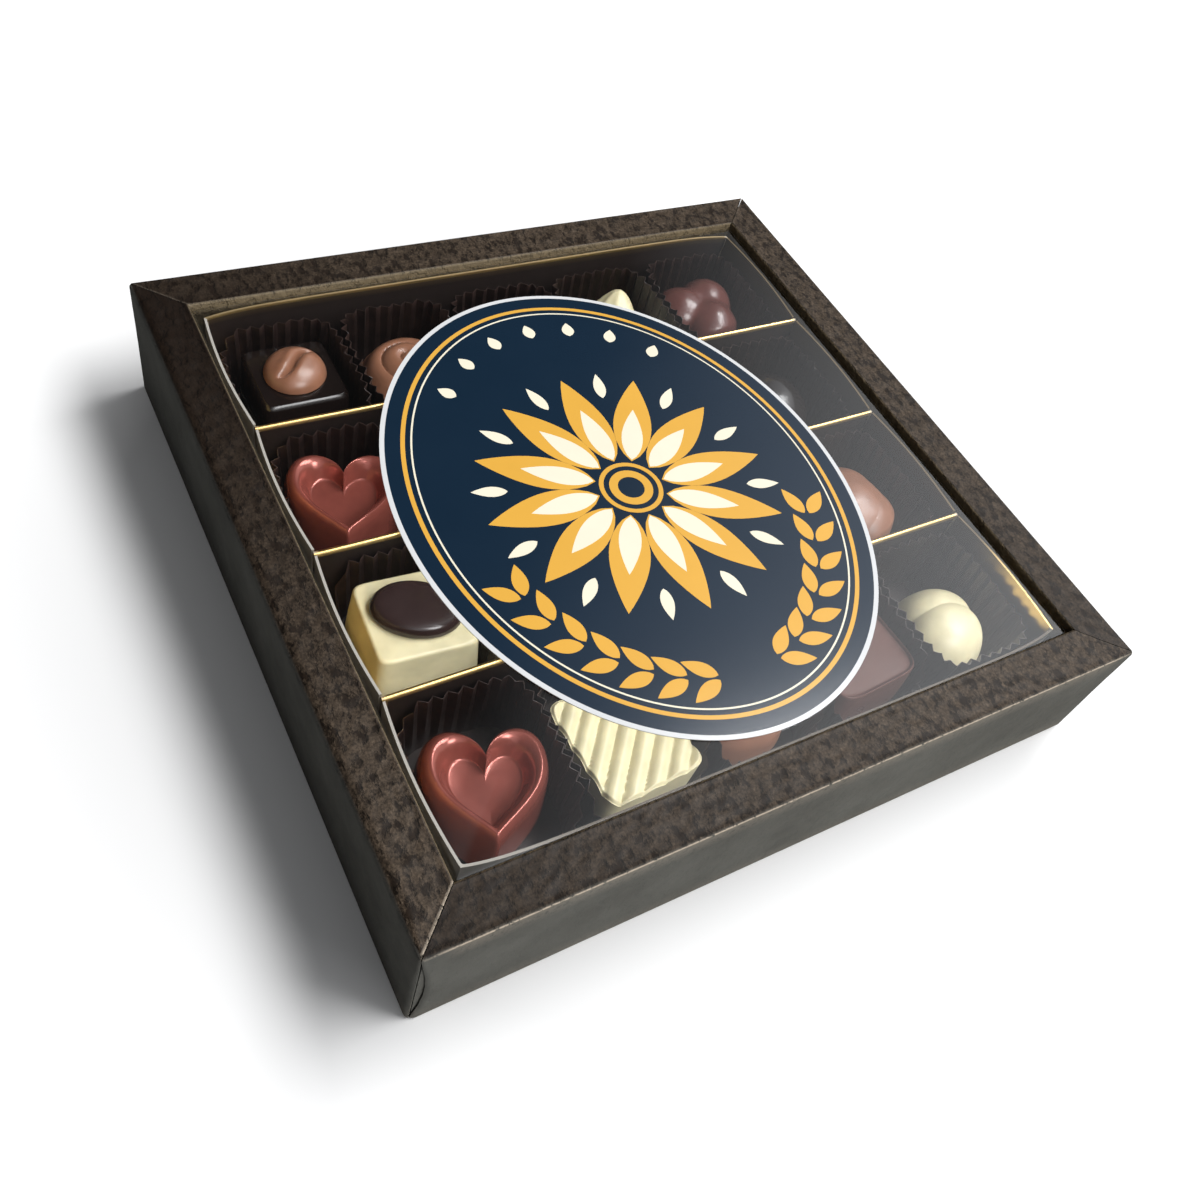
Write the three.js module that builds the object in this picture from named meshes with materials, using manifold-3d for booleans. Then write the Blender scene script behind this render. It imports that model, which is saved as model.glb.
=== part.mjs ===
import * as THREE from "three";
import { mergeVertices } from "three/addons/utils/BufferGeometryUtils.js";
import Module from "manifold-3d";

// A square window box of pralines.
// Lengths are in millimetres, +Z is up, the rows run along X and -Y is the front.
// Sizes follow from the inside out: pralines, cups, insert, lid, frame.

const wasm = await Module();
wasm.setup();

// Clearances
const seatGap = 0.25; // under a piece that rests on another
const slipGap = 0.4; // beside a piece that slides over another
const grooveWidth = 2; // open groove between the lid's skirt and the frame
const cutPast = 1; // how far a cut runs past the faces that it opens

// Frame tray, folded from one sheet of board with hollow walls
const boardThickness = 0.9;
const rimWidth = 11.5;
const frameCorner = 2.6; // radius of the upright outer folds
const mitreSlit = 0.5; // gap between two rim flaps

// Gold insert, whose floor stands on legs folded down from its edges
const cardThickness = 0.6;
const floorRise = 7.2; // height of the legs

// Row dividers, each a strip folded double with end tabs in slots of the insert's walls
const dividerPly = 0.45;
const dividerFold = 0.4; // gap between the two plies
const slotDepth = 11;

// Clear lid, a shallow cover whose skirt slips over the insert's walls
const filmThickness = 0.4;
const skirtHeight = 12;
const lidRecess = 1.8; // from the rim's top down to the lid's panel
const headroom = 4.25; // from the cups, or a taller praline, up to the lid

// Oval label on the lid's panel
const labelThickness = 0.2;
const labelSideMargin = 22.4;
const labelEndMargin = 7.7;
const labelShift = { x: -2, y: -5.4 }; // from the middle of the panel

// Pleated paper cups, squeezed by their cells from a circle to a rounded oblong
const paperThickness = 0.3;
const cupHeight = 19.5;
const cupPleats = 20;
const pleatDepth = 0.6;
const cupFlareX = 0.15; // how far the pleats' inner edges lean out from floor to mouth
const cupFlareY = 0.2;
const cupStretch = 3.15; // how much further the cup reaches along its length than across
const cupSquareness = 6; // power of the superellipse that the cup follows
const cupPlay = 0.25; // between a cup's wall and the widest praline
const cupSpacing = 0.3; // between a cup and what stands beside it

// Pralines
const heart = { width: 29.37, length: 29.5, height: 16.5, draft: 0.9, border: 5.6, recess: 3 };
const coffeeSquare = { side: 24, height: 13.6, squareness: 9, foot: 2.2, ledge: 0.7, chamfer: 1.2 };
const coffeeBean = { length: 17, width: 15.6, height: 4.8, groove: 1, grooveDepth: 1.4 };
const rosette = { length: 27, width: 25, height: 15.5, ridges: 3, ridgeDepth: 1.1 };
const pillow = { side: 26.6, height: 15.2, squareness: 6, rimWidth: 0.8, rimDepth: 0.6 };
const kiss = { diameter: 26, height: 18.5, tip: 2.2 };
const nutCluster = { nutDiameter: 17.4, nuts: 3, ringRadius: 6, height: 16.2, skirt: 27.5 };
const almond = { length: 26, width: 21, height: 15.5, foldShift: 4.5, foldDrop: 1.2 };
const nutDome = { diameter: 26.5, height: 14.5, crumb: 2.6, crumbs: 5, crumbRing: 6.5 };
const truffle = { diameter: 26, height: 16.5 };
const ovalBlock = { width: 26, length: 25, height: 14.8, squareness: 10, draft: 1.1, edge: 1.2 };
const ovalCap = { length: 21, width: 15, height: 3.5 };
const ribbedBar = { width: 25.6, length: 28, height: 15, squareness: 10, ribPitch: 4.3, ribDepth: 1.2 };
const ribAngle = 45; // degrees from the bar's width
const domeSquareness = 2.3;

// Facets of the round forms
const arcFacets = 3;
const labelFacets = 22;
const heartFacets = 28;
const outlineFacets = 24;
const domeFacets = 16;
const nutFacets = 11;
const nutRings = 7;

// How far the pralines of each row lie behind the middle of their cups
const rowNudge = [1.5, 1.4, 1.5, -1.6];

// What lies in each cell, from the back row to the front one and from left to right
const assortment = [
  ["coffee_square", "milk_rosette", "milk_pillow", "ivory_kiss", "dark_cluster"],
  ["ruby_heart", "ivory_almond", "coffee_square", "nut_dome", "dark_truffle"],
  ["oval_block", "dark_truffle", "dark_cluster", "milk_rosette", "milk_cluster"],
  ["ruby_heart", "ribbed_bar", "nut_dome", "milk_pillow", "ivory_almond"],
];

// Materials
const finishes = {
  board: { color: 0x40352d, roughness: 0.55, metalness: 0.2 },
  gold: { color: 0xc79a4b, roughness: 0.3, metalness: 0.8 },
  film: { color: 0xf4f7f8, roughness: 0.08, metalness: 0, transparent: true, opacity: 0.2 },
  label: { color: 0x15283c, roughness: 0.4, metalness: 0 },
  paper: { color: 0x2a1a14, roughness: 0.7, metalness: 0 },
  dark: { color: 0x2b1c17, roughness: 0.35, metalness: 0 },
  milk: { color: 0x75452f, roughness: 0.38, metalness: 0 },
  ruby: { color: 0x86403a, roughness: 0.32, metalness: 0.1 },
  ivory: { color: 0xe4dab4, roughness: 0.4, metalness: 0 },
};

// Solids and surfaces

// A manifold solid of a closed geometry.
function solidOf(geometry) {
  const bare = geometry.clone();
  bare.deleteAttribute("normal");
  bare.deleteAttribute("uv");
  const merged = mergeVertices(bare, 1e-4);
  const vertProperties = merged.attributes.position.array;
  const triVerts = new Uint32Array(merged.index.array);
  return new wasm.Manifold(new wasm.Mesh({ numProp: 3, vertProperties, triVerts }));
}

// The flat-shaded geometry of a manifold solid.
function geometryOf(solid) {
  const mesh = solid.getMesh();
  const indexed = new THREE.BufferGeometry();
  indexed.setAttribute("position", new THREE.BufferAttribute(mesh.vertProperties, 3));
  indexed.setIndex(new THREE.BufferAttribute(mesh.triVerts, 1));
  const geometry = indexed.toNonIndexed();
  geometry.computeVertexNormals();
  return geometry;
}

// A solid with each of the given solids cut away.
function without(solid, cuts) {
  return cuts.reduce((rest, cut) => rest.subtract(cut), solid);
}

// All the given solids as one.
function joined(solids) {
  return solids.reduce((whole, next) => whole.add(next));
}

// A closed skin over rings of equal count, each counter-clockwise, with both ends capped.
function loft(rings) {
  const count = rings[0].length;
  const ends = [rings[0], rings[rings.length - 1]];
  const centres = ends.map((ring) =>
    ring.reduce((sum, p) => sum.add(p), new THREE.Vector3()).divideScalar(count),
  );
  const vertices = [...rings.flat(), ...centres].flatMap((p) => [p.x, p.y, p.z]);
  const first = rings.length * count;
  const faces = [];
  for (let i = 0; i < count; i++) {
    const next = (i + 1) % count;
    const lastRow = (rings.length - 1) * count;
    faces.push(first, next, i);
    faces.push(first + 1, lastRow + i, lastRow + next);
    for (let row = 0; row < lastRow; row += count) {
      faces.push(row + i, row + next, row + count + next);
      faces.push(row + i, row + count + next, row + count + i);
    }
  }
  const geometry = new THREE.BufferGeometry();
  geometry.setAttribute("position", new THREE.Float32BufferAttribute(vertices, 3));
  geometry.setIndex(faces);
  geometry.computeVertexNormals();
  return geometry;
}

// A plan outline scaled about the origin and lifted to a height.
function ringAt(outline, scale, z) {
  return outline.map((p) => new THREE.Vector3(p.x * scale, p.y * scale, z));
}

// A flat shape raised into a prism between two heights.
function prism(shape, bottom, top, curveSegments = arcFacets) {
  const options = { depth: top - bottom, bevelEnabled: false, curveSegments };
  return new THREE.ExtrudeGeometry(shape, options).translate(0, 0, bottom);
}

// A block centred on the Z axis between two heights.
function block(halfX, halfY, bottom, top) {
  const box = new THREE.BoxGeometry(2 * halfX, 2 * halfY, top - bottom);
  return box.translate(0, 0, (bottom + top) / 2);
}

// A profile of [radius, height] turned about Z.
function turned(profile, segments) {
  const points = profile.map(([radius, height]) => new THREE.Vector2(radius, height));
  return new THREE.LatheGeometry(points, segments).rotateX(Math.PI / 2);
}

function roundedRectangle(halfX, halfY, radius) {
  const quarter = Math.PI / 2;
  const x = halfX - radius;
  const y = halfY - radius;
  const shape = new THREE.Shape();
  shape.absarc(x, y, radius, 0, quarter);
  shape.absarc(-x, y, radius, quarter, 2 * quarter);
  shape.absarc(-x, -y, radius, 2 * quarter, 3 * quarter);
  shape.absarc(x, -y, radius, 3 * quarter, 4 * quarter);
  return shape;
}

// A superellipse as points at even angles, with every second point drawn in by inset.
function superellipse(halfX, halfY, power, count, inset = 0) {
  const points = [];
  for (let i = 0; i < count; i++) {
    const angle = (2 * Math.PI * i) / count;
    const x = Math.cos(angle);
    const y = Math.sin(angle);
    const reach = (Math.abs(x / halfX) ** power + Math.abs(y / halfY) ** power) ** (-1 / power);
    const radius = reach - (i % 2) * inset;
    points.push(new THREE.Vector2(x * radius, y * radius));
  }
  return points;
}

// Pralines, each standing on z = 0 about the Z axis

function heartOutline() {
  const side = heart.width / 2;
  const end = heart.length / 2;
  const shape = new THREE.Shape();
  shape.moveTo(0, 0.52 * end);
  shape.bezierCurveTo(-0.2 * side, 1.12 * end, -side, 1.16 * end, -side, 0.36 * end);
  shape.bezierCurveTo(-side, -0.26 * end, -0.36 * side, -0.6 * end, 0, -end);
  shape.bezierCurveTo(0.36 * side, -0.6 * end, side, -0.26 * end, side, 0.36 * end);
  shape.bezierCurveTo(side, 1.16 * end, 0.2 * side, 1.12 * end, 0, 0.52 * end);
  return shape.getSpacedPoints(heartFacets).slice(0, heartFacets);
}

function makeHeart() {
  const outline = heartOutline();
  const { height, draft, border, recess } = heart;
  const half = heart.width / 2;
  const shoulder = 1 - draft / half;
  const crest = shoulder - border / half / 4;
  const inner = shoulder - border / half;
  return loft([
    ringAt(outline, 0.97, 0),
    ringAt(outline, 1, 0.12 * height),
    ringAt(outline, shoulder, 0.8 * height),
    ringAt(outline, (shoulder + crest) / 2, 0.95 * height),
    ringAt(outline, crest, height),
    ringAt(outline, (crest + inner) / 2, height - recess / 3),
    ringAt(outline, inner, height - recess),
  ]);
}

function makeCoffeeSquare() {
  const { side, height, squareness, foot, ledge, chamfer } = coffeeSquare;
  const outline = superellipse(side / 2, side / 2, squareness, outlineFacets);
  const body = 1 - ledge / (side / 2);
  const top = 1 - chamfer / (side / 2);
  return loft([
    ringAt(outline, 1, 0),
    ringAt(outline, 1, foot),
    ringAt(outline, body, foot + ledge / 2),
    ringAt(outline, 0.98 * body, height - chamfer),
    ringAt(outline, top, height),
  ]);
}

function makeCoffeeBean() {
  const { length, width, height, groove, grooveDepth } = coffeeBean;
  const outline = superellipse(length / 2, width / 2, 2, outlineFacets);
  const bean = loft([
    ringAt(outline, 0.86, 0),
    ringAt(outline, 1, 0.28 * height),
    ringAt(outline, 0.84, 0.7 * height),
    ringAt(outline, 0.5, 0.94 * height),
    ringAt(outline, 0.2, height),
  ]);
  const steps = 8;
  const edge = (side) =>
    Array.from({ length: steps + 1 }, (_, i) => {
      const bend = Math.sin((i / steps) * 2 * Math.PI) * 0.12 * width;
      return new THREE.Vector2((i / steps - 0.5) * length, bend + (side * groove) / 2);
    });
  const sway = new THREE.Shape([...edge(-1), ...edge(1).reverse()]);
  const cut = prism(sway, height - grooveDepth, height + cutPast);
  return geometryOf(without(solidOf(bean), [solidOf(cut)]));
}

function makeRosette() {
  const { length, width, height, ridges, ridgeDepth } = rosette;
  const profile = [
    [0, 0],
    [0.94, 0],
    [1, 0.2 * height],
  ];
  for (let i = 0; i < ridges; i++) {
    const out = 0.92 - (0.86 * i) / ridges;
    const rise = height * (1 - 0.45 * out ** 2);
    profile.push([out, rise]);
    profile.push([out - 0.16, rise + 0.02 * height - ridgeDepth]);
  }
  profile.push([0, height]);
  const oval = turned(profile, domeFacets);
  return oval.scale(length / 2, width / 2, 1);
}

function makePillow() {
  const { side, height, squareness, rimWidth: lip, rimDepth } = pillow;
  const outline = superellipse(side / 2, side / 2, squareness, outlineFacets);
  const inner = 1 - (2 * lip) / (side / 2);
  return loft([
    ringAt(outline, 0.97, 0),
    ringAt(outline, 1, 0.17 * height),
    ringAt(outline, 0.98, height - lip),
    ringAt(outline, (1 + inner) / 2, height),
    ringAt(outline, inner, height - rimDepth),
    ringAt(outline, 0.4, height - rimDepth / 2),
  ]);
}

function makeKiss() {
  const { diameter, height, tip } = kiss;
  const radius = diameter / 2;
  return turned(
    [
      [0, 0],
      [0.92 * radius, 0],
      [radius, 0.12 * height],
      [0.93 * radius, 0.3 * height],
      [0.66 * radius, 0.58 * height],
      [0.36 * radius, 0.82 * height],
      [tip, 0.96 * height],
      [0, height],
    ],
    domeFacets,
  );
}

function makeCluster() {
  const { nutDiameter, nuts, ringRadius, height, skirt } = nutCluster;
  const base = turned(
    [
      [0, 0],
      [0.47 * skirt, 0],
      [0.5 * skirt, 0.2 * height],
      [0.4 * skirt, 0.5 * height],
      [0, 0.6 * height],
    ],
    domeFacets,
  );
  const solids = [solidOf(base)];
  for (let i = 0; i < nuts; i++) {
    const angle = (2 * Math.PI * i) / nuts + Math.PI / 6;
    const nut = new THREE.SphereGeometry(nutDiameter / 2, nutFacets, nutRings).rotateX(Math.PI / 2);
    nut.translate(ringRadius * Math.cos(angle), ringRadius * Math.sin(angle), height - nutDiameter / 2);
    solids.push(solidOf(nut));
  }
  const below = solidOf(block(skirt, skirt, -nutDiameter, 0));
  return geometryOf(without(joined(solids), [below]));
}

// A smooth mound over an oval plan.
function mound(length, width, height) {
  const outline = superellipse(length / 2, width / 2, domeSquareness, domeFacets);
  return loft([
    ringAt(outline, 0.93, 0),
    ringAt(outline, 1, 0.22 * height),
    ringAt(outline, 0.92, 0.56 * height),
    ringAt(outline, 0.7, 0.83 * height),
    ringAt(outline, 0.36, 0.97 * height),
    ringAt(outline, 0.12, height),
  ]);
}

function makeAlmond() {
  const { length, width, height, foldShift, foldDrop } = almond;
  const front = mound(length, width, height).translate(0, -foldShift / 2, 0);
  const back = mound(length, width, height - foldDrop).translate(0, foldShift / 2, 0);
  return geometryOf(joined([solidOf(front), solidOf(back)]));
}

function makeNutDome() {
  const { diameter, height, crumb, crumbs, crumbRing } = nutDome;
  const solids = [solidOf(mound(diameter, diameter, height))];
  for (let i = 0; i < crumbs; i++) {
    const angle = (2 * Math.PI * i) / crumbs;
    const reach = crumbRing * (1 - 0.4 * (i % 2));
    const rise = height * (1 - 0.3 * (reach / (diameter / 2)) ** 2);
    const piece = new THREE.IcosahedronGeometry(crumb / 2).rotateX(angle);
    piece.translate(reach * Math.cos(angle), reach * Math.sin(angle), rise);
    solids.push(solidOf(piece));
  }
  return geometryOf(joined(solids));
}

function makeTruffle() {
  return mound(truffle.diameter, truffle.diameter, truffle.height);
}

function makeOvalBlock() {
  const { width, length, height, squareness, draft, edge } = ovalBlock;
  const outline = superellipse(width / 2, length / 2, squareness, outlineFacets);
  const shoulder = 1 - draft / (width / 2);
  const shrink = edge / (width / 2);
  return loft([
    ringAt(outline, 0.98, 0),
    ringAt(outline, 1, 0.08 * height),
    ringAt(outline, shoulder, height - edge),
    ringAt(outline, shoulder - 0.3 * shrink, height - 0.3 * edge),
    ringAt(outline, shoulder - shrink, height),
  ]);
}

function makeOvalCap() {
  const { length, width, height } = ovalCap;
  const outline = superellipse(length / 2, width / 2, 2, outlineFacets);
  return loft([
    ringAt(outline, 0.96, 0),
    ringAt(outline, 1, 0.3 * height),
    ringAt(outline, 0.86, 0.7 * height),
    ringAt(outline, 0.5, 0.95 * height),
    ringAt(outline, 0.15, height),
  ]);
}

function makeRibbedBar() {
  const { width, length, height, squareness, ribPitch, ribDepth } = ribbedBar;
  const outline = superellipse(width / 2, length / 2, squareness, outlineFacets);
  const body = loft([
    ringAt(outline, 0.96, 0),
    ringAt(outline, 1, 0.13 * height),
    ringAt(outline, 0.98, height),
  ]);
  const reach = width + length;
  const ribs = Math.ceil(reach / ribPitch / 2);
  const wave = new THREE.Shape();
  wave.moveTo(-ribs * ribPitch, -cutPast);
  for (let i = -ribs; i < ribs; i++) {
    wave.lineTo(i * ribPitch, height - ribDepth);
    wave.lineTo((i + 0.25) * ribPitch, height - 0.25 * ribDepth);
    wave.lineTo((i + 0.5) * ribPitch, height);
    wave.lineTo((i + 0.75) * ribPitch, height - 0.25 * ribDepth);
  }
  wave.lineTo(ribs * ribPitch, height - ribDepth);
  wave.lineTo(ribs * ribPitch, -cutPast);
  const corrugated = prism(wave, -reach / 2, reach / 2).rotateX(Math.PI / 2);
  corrugated.rotateZ(THREE.MathUtils.degToRad(ribAngle - 90));
  return geometryOf(solidOf(body).intersect(solidOf(corrugated)));
}

// Each kind of praline with its finish, its turn in the cell in degrees, its nudge across and along
// the cell, and any topping
const kinds = {
  coffee_square: {
    finish: "dark",
    make: makeCoffeeSquare,
    turn: 0,
    nudge: [1.5, 3.2],
    topping: "coffee_bean",
  },
  milk_rosette: { finish: "milk", make: makeRosette, turn: 15, nudge: [0, 1.2] },
  milk_pillow: { finish: "milk", make: makePillow, turn: 5, nudge: [0.4, 0] },
  ivory_kiss: { finish: "ivory", make: makeKiss, turn: 0, nudge: [0, 1] },
  dark_cluster: { finish: "dark", make: makeCluster, turn: 10, nudge: [0.2, 1.6] },
  milk_cluster: { finish: "milk", make: makeCluster, turn: 40, nudge: [0.4, -1.5] },
  ruby_heart: { finish: "ruby", make: makeHeart, turn: -17, nudge: [0, 0] },
  ivory_almond: { finish: "ivory", make: makeAlmond, turn: 14, nudge: [1.2, -0.8] },
  nut_dome: { finish: "milk", make: makeNutDome, turn: 0, nudge: [0, 0] },
  dark_truffle: { finish: "dark", make: makeTruffle, turn: 0, nudge: [0, 0] },
  oval_block: { finish: "ivory", make: makeOvalBlock, turn: -4, nudge: [1, 1.2], topping: "oval_cap" },
  ribbed_bar: { finish: "ivory", make: makeRibbedBar, turn: 5, nudge: [-0.3, -1] },
};
const toppings = {
  coffee_bean: { finish: "milk", make: makeCoffeeBean, turn: 45 },
  oval_cap: { finish: "dark", make: makeOvalCap, turn: -28 },
};

// A kind's geometry turned as it lies and centred over the Z axis, with its height.
function prepared(kind) {
  const geometry = kind.make().rotateZ(THREE.MathUtils.degToRad(kind.turn));
  geometry.computeBoundingBox();
  const middle = geometry.boundingBox.getCenter(new THREE.Vector3());
  geometry.translate(-middle.x, -middle.y, 0);
  return { ...kind, geometry, height: geometry.boundingBox.max.z };
}

// Where a praline lies from the middle of its cup.
function nudgeIn(row, kind) {
  return [kind.nudge[0], kind.nudge[1] + rowNudge[row]];
}

// Half the width of the narrowest cup floor that takes a praline where it lies, found by closing in.
function cupFloorFor(row, kind) {
  const [aside, along] = nudgeIn(row, kind);
  const { array, count } = kind.geometry.attributes.position;
  const closingPasses = 12;
  let half = cupStretch;
  for (let pass = 0; pass < closingPasses; pass++) {
    const flatten = half / (half + cupStretch);
    let most = 0;
    for (let i = 0; i < count; i++) {
      const x = Math.abs(array[3 * i] + aside);
      const y = Math.abs(array[3 * i + 1] + along) * flatten;
      most = Math.max(most, (x ** cupSquareness + y ** cupSquareness) ** (1 / cupSquareness));
    }
    half = most;
  }
  return half;
}

function mapValues(table, change) {
  return Object.fromEntries(Object.entries(table).map(([name, value]) => [name, change(value)]));
}

const readyToppings = mapValues(toppings, prepared);
const readyKinds = mapValues(kinds, prepared);

// Sizes that follow from the pralines

const rows = assortment.length;
const columns = assortment[0].length;
const used = assortment.flat().map((name) => readyKinds[name]);
const fullHeight = (kind) =>
  kind.height + (kind.topping ? seatGap + readyToppings[kind.topping].height : 0);

const needed = assortment.flatMap((names, row) => names.map((name) => cupFloorFor(row, readyKinds[name])));
const cupFloorX = Math.max(...needed) + cupPlay;
const cupFloorY = cupFloorX + cupStretch;
const cupMouthX = cupFloorX + paperThickness + pleatDepth + cupFlareX;
const cupMouthY = cupFloorY + paperThickness + pleatDepth + cupFlareY;
const cellX = 2 * cupMouthX + cupSpacing;
const cellY = 2 * cupMouthY + cupSpacing;

const dividerWidth = 2 * dividerPly + dividerFold;
const insertInnerX = (columns * cellX) / 2;
const insertInnerY = (rows * cellY + (rows - 1) * dividerWidth) / 2;
const insertX = insertInnerX + cardThickness;
const insertY = insertInnerY + cardThickness;
const lidX = insertX + slipGap + filmThickness;
const lidY = insertY + slipGap + filmThickness;
const wellX = lidX + grooveWidth;
const wellY = lidY + grooveWidth;
const frameX = wellX + rimWidth;
const frameY = wellY + rimWidth;

const insertBottom = boardThickness + seatGap;
const insertFloor = insertBottom + floorRise + cardThickness;
const cupBottom = insertFloor + seatGap;
const pralineBottom = cupBottom + paperThickness + seatGap;
const tallestTop = pralineBottom + Math.max(...used.map(fullHeight));
const lidUnderside = Math.max(tallestTop, cupBottom + cupHeight) + headroom;
const insertTop = lidUnderside - seatGap;
const lidTop = lidUnderside + filmThickness;
const frameTop = lidTop + lidRecess;

// Pieces of the box

function makeFrameTray() {
  const outer = roundedRectangle(frameX, frameY, frameCorner);
  const hollow = roundedRectangle(frameX - boardThickness, frameY - boardThickness, frameCorner);
  const innerWall = roundedRectangle(wellX + boardThickness, wellY + boardThickness, boardThickness);
  hollow.holes.push(innerWall);
  const well = block(wellX, wellY, boardThickness, frameTop + cutPast);
  const cuts = [
    solidOf(well),
    solidOf(prism(hollow, boardThickness, frameTop - boardThickness)),
  ];
  const slitInner = -cutPast;
  const slitOuter = rimWidth - boardThickness - frameCorner;
  const slitMiddle = (slitInner + slitOuter) / 2;
  const slitHalf = (Math.SQRT2 * (slitOuter - slitInner)) / 2;
  for (const [sideX, sideY] of [[1, 1], [-1, 1], [-1, -1], [1, -1]]) {
    const slit = block(slitHalf, mitreSlit / 2, boardThickness, frameTop + cutPast);
    slit.rotateZ(Math.atan2(sideY, sideX));
    slit.translate(sideX * (wellX + slitMiddle), sideY * (wellY + slitMiddle), 0);
    cuts.push(solidOf(slit));
  }
  return geometryOf(without(solidOf(prism(outer, 0, frameTop)), cuts));
}

// Where the divider behind each row but the first stands, from the back to the front.
function dividerPlaces() {
  const places = [];
  for (let i = 1; i < rows; i++) {
    places.push(insertInnerY - i * (cellY + dividerWidth) + dividerWidth / 2);
  }
  return places;
}

function makeInsert() {
  const walls = block(insertX, insertY, insertBottom, insertTop);
  const inside = block(insertInnerX, insertInnerY, insertFloor, insertTop + cutPast);
  const legX = insertInnerX - cardThickness;
  const legY = insertInnerY - cardThickness;
  const underside = block(legX, legY, insertBottom - cutPast, insertBottom + floorRise);
  const cuts = [solidOf(inside), solidOf(underside)];
  for (const y of dividerPlaces()) {
    const slot = block(
      insertX + cutPast,
      dividerWidth / 2 + seatGap,
      insertTop - slotDepth - seatGap,
      insertTop + cutPast,
    );
    cuts.push(solidOf(slot.translate(0, y, 0)));
  }
  return geometryOf(without(solidOf(walls), cuts));
}

function makeDivider() {
  const bottom = insertFloor + seatGap;
  const strip = block(insertX, dividerWidth / 2, bottom, insertTop);
  const fold = block(
    insertX + cutPast,
    dividerFold / 2,
    bottom - cutPast,
    insertTop - dividerPly,
  );
  const cuts = [solidOf(fold)];
  const inside = insertInnerX - seatGap;
  const tabLength = insertX - inside;
  for (const side of [1, -1]) {
    const end = block(tabLength, dividerWidth, bottom - cutPast, insertTop - slotDepth);
    cuts.push(solidOf(end.translate(side * (inside + tabLength), 0, 0)));
  }
  return geometryOf(without(solidOf(strip), cuts));
}

function makeLid() {
  const outside = block(lidX, lidY, lidTop - skirtHeight, lidTop);
  const inside = block(
    lidX - filmThickness,
    lidY - filmThickness,
    lidTop - skirtHeight - cutPast,
    lidUnderside,
  );
  return geometryOf(without(solidOf(outside), [solidOf(inside)]));
}

function makeLabel() {
  const oval = new THREE.Shape();
  oval.absellipse(
    labelShift.x,
    labelShift.y,
    lidX - labelSideMargin,
    lidY - labelEndMargin,
    0,
    2 * Math.PI,
  );
  const bottom = lidTop + seatGap;
  return prism(oval, bottom, bottom + labelThickness, labelFacets);
}

// One cup standing on z = 0: pleats grow from the floor's edge to the mouth.
function makeCup() {
  const count = 2 * cupPleats;
  const paper = paperThickness;
  const section = (halfX, halfY, inset) => superellipse(halfX, halfY, cupSquareness, count, inset);
  return loft([
    ringAt(section(cupFloorX + paper, cupFloorY + paper, 0), 1, 0),
    ringAt(section(cupMouthX, cupMouthY, pleatDepth), 1, cupHeight),
    ringAt(section(cupMouthX - paper, cupMouthY - paper, pleatDepth), 1, cupHeight),
    ringAt(section(cupFloorX, cupFloorY, 0), 1, paper),
  ]);
}

// Assembly

const box = new THREE.Group();
box.name = "praline_box";

function place(name, geometry, finish, x = 0, y = 0, z = 0) {
  const mesh = new THREE.Mesh(geometry, new THREE.MeshStandardMaterial(finishes[finish]));
  mesh.name = name;
  mesh.position.set(x, y, z);
  box.add(mesh);
}

place("frame_tray", makeFrameTray(), "board");
place("gold_insert", makeInsert(), "gold");
const divider = makeDivider();
dividerPlaces().forEach((y, i) => place(`row_divider_${i + 1}`, divider, "gold", 0, y));
place("clear_lid", makeLid(), "film");
place("lid_label", makeLabel(), "label");

const cup = makeCup();
assortment.forEach((names, row) => {
  const cellMiddle = insertInnerY - row * (cellY + dividerWidth) - cellY / 2;
  names.forEach((name, column) => {
    const x = (column + 0.5) * cellX - insertInnerX;
    const cell = `r${row + 1}c${column + 1}`;
    const kind = readyKinds[name];
    const [aside, along] = nudgeIn(row, kind);
    place(`cup_${cell}`, cup, "paper", x, cellMiddle, cupBottom);
    place(`${name}_${cell}`, kind.geometry, kind.finish, x + aside, cellMiddle + along, pralineBottom);
    if (kind.topping) {
      const topping = readyToppings[kind.topping];
      const z = pralineBottom + kind.height + seatGap;
      place(`${kind.topping}_${cell}`, topping.geometry, topping.finish, x + aside, cellMiddle + along, z);
    }
  });
});

export default box;
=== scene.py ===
"""Looks of a square window box of pralines, built round its packed construction model."""
import logging
import math
from dataclasses import dataclass, field
from enum import Enum
from typing import Callable, ClassVar

import bmesh
import bpy
import numpy as np
from mathutils import Matrix, Vector


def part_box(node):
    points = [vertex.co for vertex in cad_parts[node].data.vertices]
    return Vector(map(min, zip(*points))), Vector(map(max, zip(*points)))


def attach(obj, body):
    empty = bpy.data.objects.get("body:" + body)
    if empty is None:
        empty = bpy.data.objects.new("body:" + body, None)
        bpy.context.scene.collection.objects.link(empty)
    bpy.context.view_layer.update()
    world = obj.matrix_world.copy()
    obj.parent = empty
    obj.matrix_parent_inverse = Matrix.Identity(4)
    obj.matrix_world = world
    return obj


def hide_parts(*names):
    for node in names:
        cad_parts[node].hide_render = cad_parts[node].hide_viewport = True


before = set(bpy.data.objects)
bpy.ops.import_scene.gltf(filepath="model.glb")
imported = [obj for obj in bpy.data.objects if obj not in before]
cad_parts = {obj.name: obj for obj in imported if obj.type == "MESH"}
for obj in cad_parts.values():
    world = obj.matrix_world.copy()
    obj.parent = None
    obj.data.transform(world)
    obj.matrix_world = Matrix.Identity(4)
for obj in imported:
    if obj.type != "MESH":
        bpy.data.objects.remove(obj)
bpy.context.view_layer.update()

LOG = logging.getLogger("praline_box")
Array = np.ndarray
Colour = tuple[float, float, float]
Triple = tuple[float, float, float]
Rows = tuple[tuple[float, float], ...]
Socket = bpy.types.NodeSocket

MM = 0.001  # metres in a millimetre: sizes below are millimetres
SEAM = 1e-7  # metres within which two points are one
FULL_TURN = 2 * math.pi
NOISE_CELLS = 64  # cells after which the noise repeats


# Surfaces


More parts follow.
